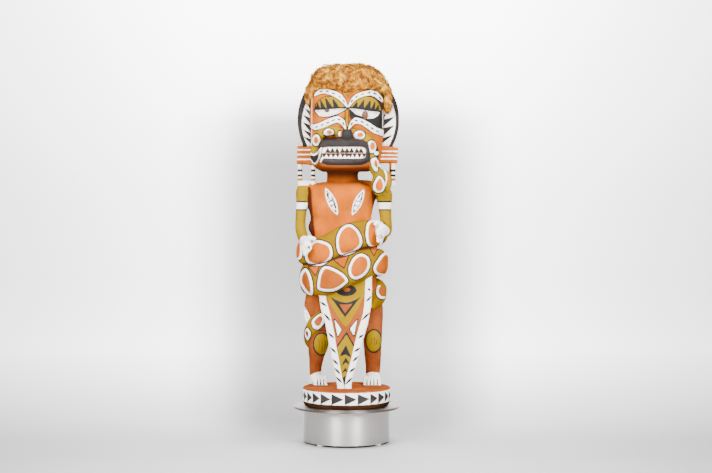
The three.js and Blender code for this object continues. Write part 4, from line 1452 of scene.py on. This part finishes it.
class Bench:
    """Builds one material."""

    def __init__(self, name):
        self.material = bpy.data.materials.new(name)
        self.material.use_nodes = True
        self.tree = self.material.node_tree
        self.tree.nodes.clear()

    def node(self, kind, settings, values, output=0):
        """A node with its settings made first, then the values or links of its sockets."""
        made = self.tree.nodes.new(kind)
        for key, value in settings.items():
            setattr(made, key, value)
        for key, value in values.items():
            socket = made.inputs[key]
            if isinstance(value, Reading):
                self.tree.links.new(value.socket, socket)
            else:
                socket.default_value = value
        return Reading(self, made.outputs[output])

    def mixed(self, factor, first, second):
        """Two colours mixed by a factor."""
        settings = {"data_type": "RGBA", "blend_type": "MIX"}
        values = {0: factor, 6: covering(first), 7: covering(second)}
        return self.node("ShaderNodeMix", settings, values, 2)

    def attribute(self, name):
        """The values stored on the mesh under a name."""
        return self.node("ShaderNodeAttribute", {"attribute_name": name}, {}, 2)

    def place(self, stretch=(1, 1, 1)):
        """Object coordinates, stretched."""
        raw = self.node("ShaderNodeTexCoord", {}, {}, 3)
        settings = {"operation": "MULTIPLY"}
        return self.node("ShaderNodeVectorMath", settings, {0: raw, 1: stretch})

    def height(self):
        """Metres above the ground."""
        return self.node("ShaderNodeSeparateXYZ", {}, {0: self.place()}, 2)

    def grain(self, scale, detail=4, stretch=(1, 1, 1), roughness=0.55):
        """Noise from 0 to 1 over the object."""
        values = {"Vector": self.place(stretch), "Scale": scale, "Detail": detail, "Roughness": roughness}
        return self.node("ShaderNodeTexNoise", {}, values)

    def finish(self, values, bump=None, bump_reach=0.001, bump_strength=1.0):
        """The surface from a Principled shader, with a bump from a height between 0 and 1."""
        shader = self.tree.nodes.new("ShaderNodeBsdfPrincipled")
        for key, value in values.items():
            if isinstance(value, Reading):
                self.tree.links.new(value.socket, shader.inputs[key])
            else:
                shader.inputs[key].default_value = value
        if bump is not None:
            heights = {"Height": bump, "Distance": bump_reach, "Strength": bump_strength}
            normal = self.node("ShaderNodeBump", {}, heights)
            self.tree.links.new(normal.socket, shader.inputs["Normal"])
        output = self.tree.nodes.new("ShaderNodeOutputMaterial")
        self.tree.links.new(shader.outputs[0], output.inputs[0])
        return self.material


def painted_wood(p):
    """Earth paints brushed on carved wood, laid by the distance to each paint's edge."""
    bench = Bench("painted_wood")
    brush = bench.grain(170, 3) - 0.5
    fine = bench.grain(700, 2) - 0.5
    wobble = brush * (2.2 * p.brush_wobble) + fine * (0.9 * p.brush_wobble)
    streaks = bench.grain(90, 5, (1, 1, 0.18), 0.7)
    clouds = bench.grain(28, 4)
    speck = bench.grain(420, 3)

    def tinted(colour, light, dark, amount):
        """A paint that varies in patches."""
        by_cloud = bench.mixed(clouds.eased(0.3, 0.7), scaled(colour, dark), scaled(colour, light))
        return bench.mixed(amount, tuple(colour), by_cloud)

    # The red-brown is darker towards the bottom, on the legs and the base.
    brown = bench.mixed(bench.height().eased(0.24, 0.42), tinted(p.low_brown, 1.3, 0.72, 0.8),
                        tinted(p.brown, 1.3, 0.76, 0.8))
    brown = bench.mixed(streaks.eased(0.55, 0.8) * 0.2, brown, scaled(p.brown, 1.4))
    # Painted shade: the red-brown darkened on the neck, under the chin and on the trunk's sides beside the
    # arms.
    brown = bench.mixed(bench.attribute("shade"), brown, tuple(p.painted_shade))
    yellow = tinted(p.yellow, 1.1, 0.85, 0.6)
    ochre = tinted(p.ochre, 1.2, 0.75, 0.8)
    yellow = bench.mixed(bench.attribute("fresh").eased(-1, 1), ochre, yellow)
    white = tinted(p.white, 1.05, 0.93, 0.7)
    black = tinted(p.black, 1.45, 0.7, 0.8)
    black = bench.mixed(streaks.eased(0.6, 0.85) * 0.3, black, scaled(p.black, 2.5))
    dusty = tinted(p.dusty_black, 1.4, 0.75, 0.8)
    dusted = bench.mixed(bench.attribute("dusty").eased(-1, 1), black, dusty)

    coats = [
        ("earth", tinted(p.earth, 1.6, 0.7, 0.8), 0),
        ("yellow", yellow, 0.08),
        ("black", dusted, 0.06),
        ("white", white, 0.08),
        ("brown", brown, 0),
        ("ink", black, 0.05),
    ]
    colour = brown
    for name, paint, chips in coats:
        edge = bench.attribute(name) + wobble
        mask = edge.eased(-0.45, 0.45) * (1 - speck.eased(0.62, 0.75) * chips)
        colour = bench.mixed(mask, colour, paint)
    crest = bench.attribute("crest")
    worn = (crest.eased(0.25, 0.9) * streaks.eased(0.45, 0.7) * 0.14).limited()
    colour = bench.mixed(worn, colour, scaled(p.brown, 1.3))
    # Creases darkened, partly as grime and partly as painted shade.
    crease = bench.attribute("crease").eased(0.15, 0.9)
    colour = bench.mixed(crease * 0.55, colour, p.crease_grime_and_shade)
    rough = 0.62 + clouds * 0.16 - streaks * 0.08
    height = streaks * 0.5 + speck * 0.25 + brush * 0.5
    values = {"Base Color": colour, "Roughness": rough, "Specular IOR Level": 0.0}
    return bench.finish(values, height, 0.0009, 0.5)


def fibre(p, name, light):
    """Coarse plant fibre in paler, tawny and redder locks, its colours scaled by light; the mat under the
    locks takes 0.6 of them as painted shade.
    """
    bench = Bench(name)
    tone = bench.attribute("tone")
    low = bench.mixed(tone.eased(0.05, 0.5), scaled(p.fibre_red, light), scaled(p.fibre_tawny, light))
    colour = bench.mixed(tone.eased(0.5, 0.95), low, scaled(p.fibre_pale, light))
    dust = bench.grain(900, 3)
    values = {"Base Color": colour, "Roughness": 0.75 - tone * 0.15, "Specular IOR Level": 0.1}
    return bench.finish(values, dust, 0.0006, 0.5)


def spun_metal(p):
    """Brushed metal, with fine turning marks round the drum and rim, and a painted reflection of the wooden
    base darkening the rim.
    """
    bench = Bench("spun_metal")
    rings = bench.grain(60, 6, (0.6, 0.6, 22), 0.8)
    drawn = bench.grain(40, 4, (3, 3, 1), 0.6)
    smear = bench.grain(14, 3)
    tone = bench.mixed(rings.eased(0.3, 0.7), scaled(p.metal, 0.9), tuple(p.metal))
    tone = bench.mixed(drawn.eased(0.4, 0.75) * 0.25, tone, scaled(p.metal, 0.78))
    # Painted reflection: the rim darkens and browns near the top, as if it mirrored the wooden base.
    rim = bench.height().eased((DRUM_TOP - RIM_REFLECTION_FADE[1]) * MM, (DRUM_TOP - RIM_REFLECTION_FADE[0]) * MM)
    tone = bench.mixed(rim, tone, tuple(p.rim_painted_reflection))
    rough = p.metal_roughness + rings * 0.1 + smear * 0.08
    values = {"Base Color": tone, "Roughness": rough, "Metallic": 1.0, "Anisotropic": 0.9,
              "Anisotropic Rotation": 0.25}
    return bench.finish(values, rings, 0.0002, 0.35)


def soft_pad(p):
    """Clear soft rubber with dust on it."""
    bench = Bench("soft_pad")
    dust = bench.grain(500, 3)
    colour = bench.mixed(dust.eased(0.4, 0.7), tuple(p.pad), scaled(p.pad, 0.8))
    return bench.finish({"Base Color": colour, "Roughness": 0.35 + dust * 0.2}, dust, 0.0003, 0.3)


def eye_matter(name, colour, light):
    """Dull layered matter, such as old resin or shell."""
    bench = Bench(name)
    layers = bench.grain(380, 5, (1, 1, 3))
    tone = bench.mixed(layers.eased(0.35, 0.65), scaled(colour, 0.5), scaled(colour, light))
    return bench.finish({"Base Color": tone, "Roughness": 0.35 + layers * 0.3}, layers, 0.0008, 0.6)


# Settings

def colour_property(label, about, value):
    """A colour that a user can change."""
    return bpy.props.FloatVectorProperty(
        name=label, description=about, default=value, size=3, min=0, max=1, subtype="COLOR")


def length_property(label, about, value, low, high):
    """A length in metres that a user can change."""
    return bpy.props.FloatProperty(
        name=label, description=about, default=value, min=low, max=high, unit="LENGTH")


def count_property(label, about, value, low, high):
    """A whole number that a user can change."""
    return bpy.props.IntProperty(name=label, description=about, default=value, min=low, max=high)


def number(label, about, value, low, high):
    """A plain number that a user can change."""
    return bpy.props.FloatProperty(name=label, description=about, default=value, min=low, max=high)


class CarvingSettings(bpy.types.PropertyGroup):
    """Sizes and colours of the carving"""
    voxel: length_property("Fusing grain", "Grain at which the forms are fused", 0.0018, 0.001, 0.004)
    triangles: count_property("Triangles", "Most triangles in the carving", 196000, 20000, 199000)
    tool_marks: number("Tool marks", "Height of the knife's marks in millimetres", 0.45, 0, 2)
    brush_wobble: number("Brush wobble", "How far painted edges wander, in millimetres", 0.5, 0, 2)
    brown: colour_property("Red-brown", "Earth red over the wood", (0.42, 0.092, 0.003))
    low_brown: colour_property("Dark red-brown", "Red of the legs and the base", (0.235, 0.056, 0.014))
    # Painted shade: darker red for the neck, under the chin and the trunk's sides.
    painted_shade: colour_property("Painted shade red", "Red of the neck and beside the arms", (0.062, 0.0145, 0.007))
    earth: colour_property("Bare foot", "Dark wood under the base's band", (0.035, 0.014, 0.006))
    yellow: colour_property("Yellow", "Fresh yellow of the face and apron", (0.25, 0.148, 0.0003))
    ochre: colour_property("Ochre", "Duller yellow of the body's snakes", (0.21, 0.108, 0.0004))
    white: colour_property("White", "Lime white", (0.94, 0.92, 0.85))
    black: colour_property("Black", "Soft charcoal black", (0.019, 0.018, 0.0178))
    dusty_black: colour_property("Dusty black", "Greyer black of the muzzle", (0.026, 0.0225, 0.0215))
    # Grime and painted shade in the creases.
    crease_grime_and_shade: colour_property("Crease grime and shade", "Grime and painted shade darkening the creases", (0.08, 0.02, 0.006))


class WigSettings(bpy.types.PropertyGroup):
    """Sizes and colours of the wig and of the eye inlays"""
    locks: count_property("Locks", "Curly locks of fibre", 840, 10, 1200)
    strands: count_property("Strands", "Strands in a lock", 18, 4, 60)
    length: length_property("Lock length", "Length of a lock", 0.023, 0.005, 0.06)
    curl: length_property("Curl", "Radius of a lock's curl", 0.0023, 0, 0.006)
    spread: length_property("Spread", "How far strands stray from their lock's line", 0.0012, 0, 0.004)
    thickness: length_property("Thickness", "Radius of a strand", 0.00038, 0.0001, 0.001)
    fibre_tawny: colour_property("Tawny fibre", "Most of the fibre", (0.64, 0.25, 0.008))
    fibre_pale: colour_property("Pale fibre", "Bleached fibre", (1.0, 0.64, 0.09))
    fibre_red: colour_property("Red fibre", "Reddened and shaded fibre", (0.19, 0.052, 0.006))
    resin: colour_property("Resin", "Dark resin of the left eye", (0.05, 0.033, 0.026))
    shell: colour_property("Shell", "Worn shell of the right eye", (0.125, 0.045, 0.008))


class StandSettings(bpy.types.PropertyGroup):
    """Sizes and colours of the metal stand and its pads"""
    drum_radius: length_property("Drum radius", "Radius of the drum", 0.0875, 0.05, 0.1)
    wall: length_property("Wall", "Thickness of the metal", 0.002, 0.001, 0.005)
    rim_thickness: length_property("Rim thickness", "Thickness of the rim", 0.0045, 0.002, 0.01)
    metal_roughness: number("Roughness", "Roughness of the metal", 0.42, 0, 1)
    metal: colour_property("Metal", "Colour of the metal", (0.68, 0.645, 0.615))
    # Painted reflection of the brown wooden base on the rim.
    rim_painted_reflection: colour_property("Rim", "Brown painted reflection of the wooden base on the rim", (0.2, 0.165, 0.15))
    pad: colour_property("Pad", "Colour of the clear pads", (0.72, 0.72, 0.70))


class StageSettings(bpy.types.PropertyGroup):
    """Camera, lamps and backdrop"""
    focal: number("Focal length", "Camera focal length in millimetres", 75.84, 20, 200)
    shift: number("Sideways shift", "Camera shift as a share of the frame's width", 0.01334, -0.1, 0.1)
    key: number("Softboxes", "Power of each softbox in watts", 65, 0, 1000)
    fill: number("Front light", "Power of the broad light behind the camera in watts", 69, 0, 1000)
    room: number("Room light", "Strength of the room's light", 0.6, 0, 5)
    floor: colour_property("Floor", "Colour of the floor and the wall", (0.25, 0.25, 0.252))


# Pieces

def carving_mesh(p):
    """The forms fused, evened, marked by the tool and cut in relief."""
    points, faces, face_owner, names = gather(forms())
    tree = BVHTree.FromPolygons([tuple(q) for q in points], faces)
    raw = new_piece("painted_carving", (points + [0, 0, BASE_TOP]) * MM, faces)
    outward(raw)
    fuse = raw.modifiers.new("fuse", "REMESH")
    fuse.mode = "VOXEL"
    fuse.voxel_size = p.voxel
    bake_modifiers(raw)
    relax(raw.data, 5)
    mesh = raw.data
    place = vertex_array(mesh) / MM - [0, 0, BASE_TOP]
    normal = vertex_array(mesh, "normal")
    owner = owners(place, tree, face_owner)
    marks = hand_wobble(place * [1, 1, 0.55], 9, 1) * p.tool_marks
    marks += hand_wobble(place, 26, 2) * p.tool_marks * 1.2
    marks[owner == names.index("base")] *= 0.5
    rise = relief(place, owner, names) * (normal[:, 1] < -0.05) + marks
    spin = owner == names.index("coil")
    rise[spin] = relief(place[spin], owner[spin], names) + marks[spin]
    place = place + normal * rise[:, None]
    place[:, 2] = np.maximum(place[:, 2], -BASE_HEIGHT)
    mesh.vertices.foreach_set("co", ((place + [0, 0, BASE_TOP]) * MM).astype(np.float32).ravel())
    mesh.update()
    relax(mesh, 1)
    on_base = owner == names.index("base")
    near = np.repeat((~on_base)[:, None], 3, 1).astype(float)
    edges = edge_array(mesh)
    for _ in range(4):
        near = neighbour_mean(near, edges, len(near))
    base_flats = on_base & (np.abs(normal[:, 2]) > 0.7) & (near[:, 0] < 1e-6)
    hidden = (normal[:, 1] > -0.15) & ~on_base | base_flats
    group = raw.vertex_groups.new(name="plain")
    group.add(list(range(len(hidden))), FRONT_SHARE, "REPLACE")
    group.add(np.nonzero(hidden)[0].tolist(), 1.0, "REPLACE")
    triangles = sum(len(f.vertices) - 2 for f in mesh.polygons)
    thin = raw.modifiers.new("thin", "DECIMATE")
    thin.ratio = min(1.0, p.triangles / triangles)
    thin.vertex_group = "plain"
    thin.vertex_group_factor = FRONT_CARE
    bake_modifiers(raw)
    raw.vertex_groups.clear()
    return raw, tree, face_owner, names


def paint_carving(piece, tree, face_owner, names):
    """Stores the paint distances, the painted shade, the worn places and the creases darkened as grime and
    painted shade on the mesh.
    """
    mesh = piece.data
    place = vertex_array(mesh) / MM - [0, 0, BASE_TOP]
    owner = owners(place, tree, face_owner)
    for paint, values in painting(place, owner, names).items():
        write_values(mesh, paint, np.clip(values, -6, 6))
    edges = edge_array(mesh)
    normal = vertex_array(mesh, "normal")
    wide = place.copy()
    for _ in range(6):
        wide = neighbour_mean(wide, edges, len(wide))
    bulge = ((place - wide) * normal).sum(1)
    write_values(mesh, "shade", painted_shade(place, owner, names))
    write_values(mesh, "crest", np.clip(bulge / 1.2, 0, 1))
    write_values(mesh, "crease", np.clip(-bulge / 1.2, 0, 1))


def wig_surface():
    """The wig's mass: the CAD wig fused, evened and lumped."""
    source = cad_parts["fibre_wig"].data
    points = vertex_array(source)
    faces = [tuple(f.vertices) for f in source.polygons]
    mat = new_piece("wig_mat", points, faces)
    weld = mat.modifiers.new("weld", "WELD")
    weld.merge_threshold = 1e-5
    fuse = mat.modifiers.new("fuse", "REMESH")
    fuse.mode = "VOXEL"
    fuse.voxel_size = WIG_GRAIN
    bake_modifiers(mat)
    relax(mat.data, 12)
    place, normal = vertex_array(mat.data), vertex_array(mat.data, "normal")
    middle = np.array([0.0, WIG_MIDDLE, 0])
    outer = ((place - middle) * [1, 1, 0] * normal).sum(1) + 0.05 * normal[:, 2] > 0.0
    lumps = sum(hand_wobble(place, size, seed) * high for size, seed, high in WIG_LUMPS) - WIG_SUNK
    place = place + normal * (lumps * outer)[:, None]
    mat.data.vertices.foreach_set("co", place.astype(np.float32).ravel())
    mat.data.update()
    write_values(mat.data, "tone", np.clip(0.25 + hand_wobble(place, 0.006, 7) * 0.5, 0, 1))
    return mat


def wig_roots(mat, count, draw):
    """Points spread over the wig's outside, with their normals."""
    mesh = mat.data
    place, normal = vertex_array(mesh), vertex_array(mesh, "normal")
    away = place - [0, WIG_MIDDLE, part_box("fibre_wig")[1].z - WIG_CORE_BELOW]
    away /= np.linalg.norm(away, axis=1)[:, None]
    outer = np.nonzero(((away * normal).sum(1) > 0.15) | (normal[:, 1] < -0.5))[0]
    chosen = draw.choice(outer, count, replace=True)
    return place[chosen], normal[chosen]


def strands_of(roots, normals, p, draw):
    """Curly locks as (points, tones), each with its own lean and its strands close together."""
    top = np.array([0, WIG_MIDDLE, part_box("fibre_wig")[1].z])
    points, tones = [], []
    t = np.linspace(0, 1, STRAND_STEPS)[:, None]
    patches = hand_wobble(roots, 0.017, 11)
    for root, normal, patch_tone in zip(roots, normals, patches):
        down = root - top
        down = down - normal * (down @ normal)
        size = np.linalg.norm(down)
        comb = down / size if size > 1e-6 else X_AXIS
        swirl = np.cross(normal, comb)
        turn = draw.normal(0, np.interp(root[2], *LOCK_TURN))
        way = comb * math.cos(turn) + swirl * math.sin(turn) + normal * draw.uniform(*LOCK_LIFT)
        way /= np.linalg.norm(way)
        side = np.cross(way, normal)
        side /= np.linalg.norm(side)
        rise = np.cross(side, way)
        length = p.length * draw.uniform(*LOCK_LENGTHS) * np.interp(root[2], *LOCK_SHARE)
        radius = p.curl * draw.uniform(*LOCK_CURLS)
        begin = draw.uniform(0, 2 * math.pi)
        turns = draw.choice([-1, 1]) * draw.uniform(*LOCK_TURNS)
        angle = begin + turns * 2 * math.pi * t
        swell = radius * (0.45 + 0.55 * t)
        line = way * length * t - normal * (LOCK_DROOP * length) * t ** 2
        line = line + side * swell * np.cos(angle) + rise * swell * 0.7 * np.sin(angle)
        line = line - line[0] + root - normal * draw.uniform(*LOCK_SUNK)
        tone = 0.45 + 0.7 * patch_tone + draw.normal(0, 0.24)
        for _ in range(p.strands):
            stray = draw.normal(0, p.spread, 3) * (0.7 + 0.9 * t)
            wave = side * np.sin(angle * 1.7 + draw.uniform(0, 2 * math.pi)) * p.spread * 0.4
            first, last = draw.uniform(0, 0.15), draw.uniform(0.75, 1.0)
            place = first + (last - first) * t[:, 0]
            curve = np.stack([np.interp(place, t[:, 0], line[:, k]) for k in range(3)], 1)
            points.append(curve + stray + wave)
            tones.append(np.clip(tone + draw.normal(0, 0.22), 0, 1))
    return np.array(points), np.array(tones)


def within_hair(curves):
    """Which strands keep to the hair's outline in the front view."""
    count, steps, _ = curves.shape
    places = curves.reshape(-1, 3) / MM - [0, 0, BASE_TOP]
    at = front_view(places)
    fore = patch(at, HAIR_TOP + HAIR_FRINGE)
    aft = patch(at, HAIR_TOP + HAIR_NAPE)
    away = np.where(places[:, 1] < HAIR_FORE, fore, aft)
    return away.reshape(count, steps).min(1) > -HAIR_FUZZ


def strand_mesh(name, curves, tones, radius):
    """Three-sided tubes along the curves, tapering to the tip."""
    count, steps, _ = curves.shape
    path = np.gradient(curves, axis=1)
    path /= np.maximum(np.linalg.norm(path, axis=2), 1e-9)[:, :, None]
    side = np.cross(path, np.array([0.31, 0.83, 0.46]))
    side /= np.maximum(np.linalg.norm(side, axis=2), 1e-9)[:, :, None]
    rise = np.cross(path, side)
    width = radius * (1 - STRAND_TAPER * np.linspace(0, 1, steps))[None, :, None]
    rings = []
    for k in range(STRAND_SIDES):
        angle = 2 * math.pi * k / STRAND_SIDES
        rings.append(curves + side * width * math.cos(angle) + rise * width * math.sin(angle))
    points = np.stack(rings, 2).reshape(-1, 3)
    root = np.arange(count) * steps * STRAND_SIDES
    first = root[:, None, None]
    ring = (np.arange(steps - 1) * STRAND_SIDES)[None, :, None]
    corner = np.arange(STRAND_SIDES)[None, None, :]
    p, q = first + ring + corner, first + ring + (corner + 1) % STRAND_SIDES
    quads = np.stack([p, q, q + STRAND_SIDES, p + STRAND_SIDES], 3).reshape(-1, 4)
    caps = np.stack([root + 2, root + 1, root], 1)
    tip = root + (steps - 1) * STRAND_SIDES
    caps = np.vstack([caps, np.stack([tip, tip + 1, tip + 2], 1)])
    piece = new_piece(name, points, [tuple(f) for f in quads] + [tuple(f) for f in caps])
    write_values(piece.data, "tone", np.repeat(tones, steps * STRAND_SIDES))
    return piece


def lamp_place(turn, rise, away):
    """A lamp's place from its turn off the camera's line and its rise, in degrees, round the aim."""
    turn, rise = math.radians(turn), math.radians(rise)
    flat = away * math.cos(rise)
    return (flat * math.sin(turn), -flat * math.cos(turn), AIM[2] + away * math.sin(rise))


def area_lamp(name, place, size, power):
    """A soft lamp that the camera doesn't see, aimed at the figure."""
    lamp = bpy.data.lights.new(name, "AREA")
    lamp.shape = "RECTANGLE"
    lamp.size, lamp.size_y = size
    lamp.energy = power
    holder = bpy.data.objects.new(name, lamp)
    holder.location = place
    holder.rotation_euler = (Vector(AIM) - Vector(place)).to_track_quat("-Z", "Y").to_euler()
    holder.visible_camera = False
    bpy.context.scene.collection.objects.link(holder)


def backdrop_shown(places):
    """How bright the floor and wall show at each place, from 0 to 255, in the front view."""
    at = front_view(places / MM - [0, 0, BASE_TOP])
    ups, tones = zip(*BACKDROP)
    shown = np.interp(at[:, 1], ups, tones)
    aside = np.maximum(np.abs(at[:, 0]) - SIDE_FROM, 0) / SIDE_OVER
    shown = shown - SIDE_FALL * aside ** 1.2
    across, depth = zip(*SOFT_SHADOW)
    ups, share = zip(*SHADOW_HEIGHTS)
    return shown - np.interp(at[:, 0], across, depth) * np.interp(at[:, 1], ups, share)


def backdrop_glow(places):
    """The light that the backdrop gives off over what the lamps lend it."""
    light = np.interp(backdrop_shown(places), SHOWN, LIGHT)
    rows, lent = zip(*LENT_LIGHT)
    glow = light - np.interp(places[:, 1], rows, lent)
    keep = np.interp(np.abs(places[:, 0]), FADE_SIDES, [1, 0])
    keep = keep * np.interp(places[:, 1], FADE_NEAR, [0, 1])
    under = np.interp(np.hypot(places[:, 0], places[:, 1]), FADE_FOOT, [0, 1])
    return np.maximum(glow, 0) * keep * under


def settle(piece, material, slot, *nodes):
    """Gives a piece its material, its body and the CAD nodes that it stands for. The slot is not used."""
    piece.data.materials.clear()
    piece.data.materials.append(material)
    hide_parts(*nodes)
    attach(piece, BODY)


class FIGURE_OT_carving(bpy.types.Operator):
    """Carves and paints the figure"""
    bl_idname = "figure.carving"
    bl_label = "Carved figure"

    def execute(self, context):
        p = context.scene.figure_carving
        piece, tree, face_owner, names = carving_mesh(p)
        paint_carving(piece, tree, face_owner, names)
        settle(piece, painted_wood(p), "painted_wood", "carved_figure")
        return {"FINISHED"}


class FIGURE_OT_wig(bpy.types.Operator):
    """Makes the wig of plant fibre"""
    bl_idname = "figure.wig"
    bl_label = "Fibre wig"

    def execute(self, context):
        p = context.scene.figure_wig
        draw = np.random.default_rng(11)
        mat = wig_surface()
        roots, normals = wig_roots(mat, p.locks, draw)
        # The mat under the locks is darker, as painted shade between the strands.
        settle(mat, fibre(p, "matted_fibre_painted_shade", 0.6), "plant_fibre", "fibre_wig")
        strand_finish = fibre(p, "loose_fibre", 1.0)
        share = len(roots) // 3
        for i in range(3):
            chosen = slice(i * share, (i + 1) * share)
            curves, tones = strands_of(roots[chosen], normals[chosen], p, draw)
            kept = np.nonzero(within_hair(curves))[0][:MOST_STRANDS]
            piece = strand_mesh(f"wig_fibres_{i + 1}", curves[kept], tones[kept], p.thickness)
            settle(piece, strand_finish, "plant_fibre", "fibre_wig")
        return {"FINISHED"}


class FIGURE_OT_eyes(bpy.types.Operator):
    """Makes what is left of the inlaid eyes"""
    bl_idname = "figure.eyes"
    bl_label = "Eye inlays"

    def execute(self, context):
        p = context.scene.figure_wig
        finishes = {
            "left_eye_resin": eye_matter("dark_resin", tuple(p.resin), 1.6),
            "right_eye_shell": eye_matter("worn_shell", tuple(p.shell), 1.3),
        }
        for node, form in EYE_LUMPS.items():
            points, faces = lump(form["middle"], form["half"], 24)
            middle = np.array(form["middle"])
            points = middle + (points - middle) * (0.93 + 0.16 * hand_wobble(points, 4, 9)[:, None])
            piece = new_piece(node + "_rest", (points + [0, 0, BASE_TOP]) * MM, faces)
            outward(piece)
            settle(piece, finishes[node], "eye_resin" if "resin" in node else "eye_shell", node)
        return {"FINISHED"}


class FIGURE_OT_stand(bpy.types.Operator):
    """Spins the metal drum and sets its pads"""
    bl_idname = "figure.stand"
    bl_label = "Metal stand"

    def execute(self, context):
        p = context.scene.figure_stand
        radius, wall, rim_high = p.drum_radius / MM, p.wall / MM, p.rim_thickness / MM
        half = rim_high / 2
        edge = [[RIM_RADIUS - half + half * math.cos(a), DRUM_TOP - half + half * math.sin(a)]
                for a in np.linspace(-math.pi / 2, math.pi / 2, 9)]
        neck = [[radius + 1.6 - 1.6 * math.sin(a), DRUM_TOP - rim_high - 1.6 + 1.6 * math.cos(a)]
                for a in np.linspace(math.pi / 2, 0, 5)]
        outline = [[radius - wall, PAD_TOP + 0.4], [radius - wall + 0.4, PAD_TOP], [radius - 0.8, PAD_TOP],
                   [radius, PAD_TOP + 0.8]] + neck + edge
        outline += [[0, DRUM_TOP], [0, DRUM_TOP - wall], [radius - wall, DRUM_TOP - wall]]
        points, faces = turned(outline, 160)
        drum = new_piece("spun_drum", points * MM, [f for f in faces if len(set(f)) > 2])
        outward(drum)
        settle(drum, spun_metal(p), "brushed_metal", "metal_stand")
        finish = soft_pad(p)
        for i in range(1, 5):
            low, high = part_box(f"stand_pad_{i}")
            middle = (low + high) / 2 / MM
            size, top = (high.x - low.x) / 2 / MM, high.z / MM
            outline = [[0, 0], [size - 2, 0], [size - 0.8, 0.5], [size, 1.6], [size, top - 0.3],
                       [size - 0.3, top], [0, top]]
            points, faces = turned(outline, 40)
            pad = new_piece(f"clear_pad_{i}", (points + [middle.x, middle.y, 0]) * MM, faces)
            outward(pad)
            settle(pad, finish, "clear_rubber", f"stand_pad_{i}")
        return {"FINISHED"}


class FIGURE_OT_stage(bpy.types.Operator):
    """Sets the floor, the wall, the lights and the camera"""
    bl_idname = "figure.stage"
    bl_label = "Stage"

    def execute(self, context):
        p = context.scene.figure_stage
        scene = context.scene
        near, far = FINE_FLOOR
        before = np.linspace(FLOOR_NEAR, near, 25)[:-1]
        after = np.linspace(far, WALL_AT - WALL_CURVE, 36)[1:]
        flat = [(y, 0.0) for y in np.concatenate([before, np.linspace(near, far, 51), after])]
        curve = [(WALL_AT - WALL_CURVE * (1 - math.sin(a)), WALL_CURVE * (1 - math.cos(a)))
                 for a in np.linspace(0.08, math.pi / 2, 16)]
        wall = [(WALL_AT, z) for z in np.linspace(WALL_CURVE, WALL_HIGH, 37)[1:]]
        rows = flat + curve + wall
        left = np.linspace(-LIT_ACROSS, -FINE_ACROSS, 43)[:-1]
        right = np.linspace(FINE_ACROSS, LIT_ACROSS, 43)[1:]
        fine = np.linspace(-FINE_ACROSS, FINE_ACROSS, 51)
        columns = np.concatenate([[-FLOOR_WIDE, -4], left, fine, right, [4, FLOOR_WIDE]])
        points = np.array([[x, y, z] for y, z in rows for x in columns])
        width = len(columns)
        faces = [(i * width + j, i * width + j + 1, (i + 1) * width + j + 1, (i + 1) * width + j)
                 for i in range(len(rows) - 1) for j in range(width - 1)]
        floor = new_piece("floor", points, faces)
        write_values(floor.data, "glow", backdrop_glow(points))
        bench = Bench("pale_floor")
        tone = bench.mixed(bench.grain(2.5, 3).eased(0.3, 0.7), tuple(p.floor), scaled(p.floor, 1.015))
        values = {"Base Color": tone, "Roughness": 0.75, "Emission Color": bench.attribute("glow"),
                  "Emission Strength": 1.0}
        floor.data.materials.append(bench.finish(values))
        for name, turn in (("left_softbox", -SOFTBOX_TURN), ("right_softbox", SOFTBOX_TURN)):
            area_lamp(name, lamp_place(turn, SOFTBOX_RISE, SOFTBOX_AWAY), SOFTBOX_SIZE, p.key)
        area_lamp("front_light", FRONT_LIGHT_PLACE, FRONT_LIGHT_SIZE, p.fill)
        world = bpy.data.worlds.new("room")
        world.use_nodes = True
        world.node_tree.nodes["Background"].inputs[0].default_value = (1, 1, 1, 1)
        world.node_tree.nodes["Background"].inputs[1].default_value = p.room
        scene.world = world
        camera = bpy.data.cameras.new("camera")
        camera.sensor_width = SENSOR_WIDTH
        camera.lens = p.focal
        camera.shift_x = p.shift
        holder = bpy.data.objects.new("camera", camera)
        holder.location = (0, -EYE_AWAY * MM, EYE_HEIGHT * MM)
        holder.rotation_euler = (math.pi / 2 - EYE_DOWN, 0, 0)
        scene.collection.objects.link(holder)
        scene.camera = holder
        return {"FINISHED"}


class FIGURE_PT_panel(bpy.types.Panel):
    """Settings of the figure and the buttons that build it"""
    bl_label = "Wooden figure"
    bl_idname = "FIGURE_PT_panel"
    bl_space_type = "VIEW_3D"
    bl_region_type = "UI"
    bl_category = "Figure"

    def draw(self, context):
        for group, _ in GROUPS:
            settings = getattr(context.scene, group)
            for key in settings.__annotations__:
                self.layout.prop(settings, key)
        for operator in OPERATORS:
            self.layout.operator(operator.bl_idname)


GROUPS = (
    ("figure_carving", CarvingSettings),
    ("figure_wig", WigSettings),
    ("figure_stand", StandSettings),
    ("figure_stage", StageSettings),
)
OPERATORS = (FIGURE_OT_stage, FIGURE_OT_stand, FIGURE_OT_carving, FIGURE_OT_eyes, FIGURE_OT_wig)
CLASSES = tuple(group for _, group in GROUPS) + OPERATORS + (FIGURE_PT_panel,)


def register():
    """Registers the classes and puts the settings on the scene."""
    for item in CLASSES:
        bpy.utils.register_class(item)
    for name, group in GROUPS:
        setattr(bpy.types.Scene, name, bpy.props.PointerProperty(type=group))


def unregister():
    """Takes the settings and the classes away again."""
    for name, _ in GROUPS:
        delattr(bpy.types.Scene, name)
    for item in reversed(CLASSES):
        bpy.utils.unregister_class(item)


def main():
    """Builds the figure."""
    register()
    for operator in OPERATORS:
        group, name = operator.bl_idname.split(".")
        getattr(getattr(bpy.ops, group), name)()


if __name__ == "__main__":
    main()
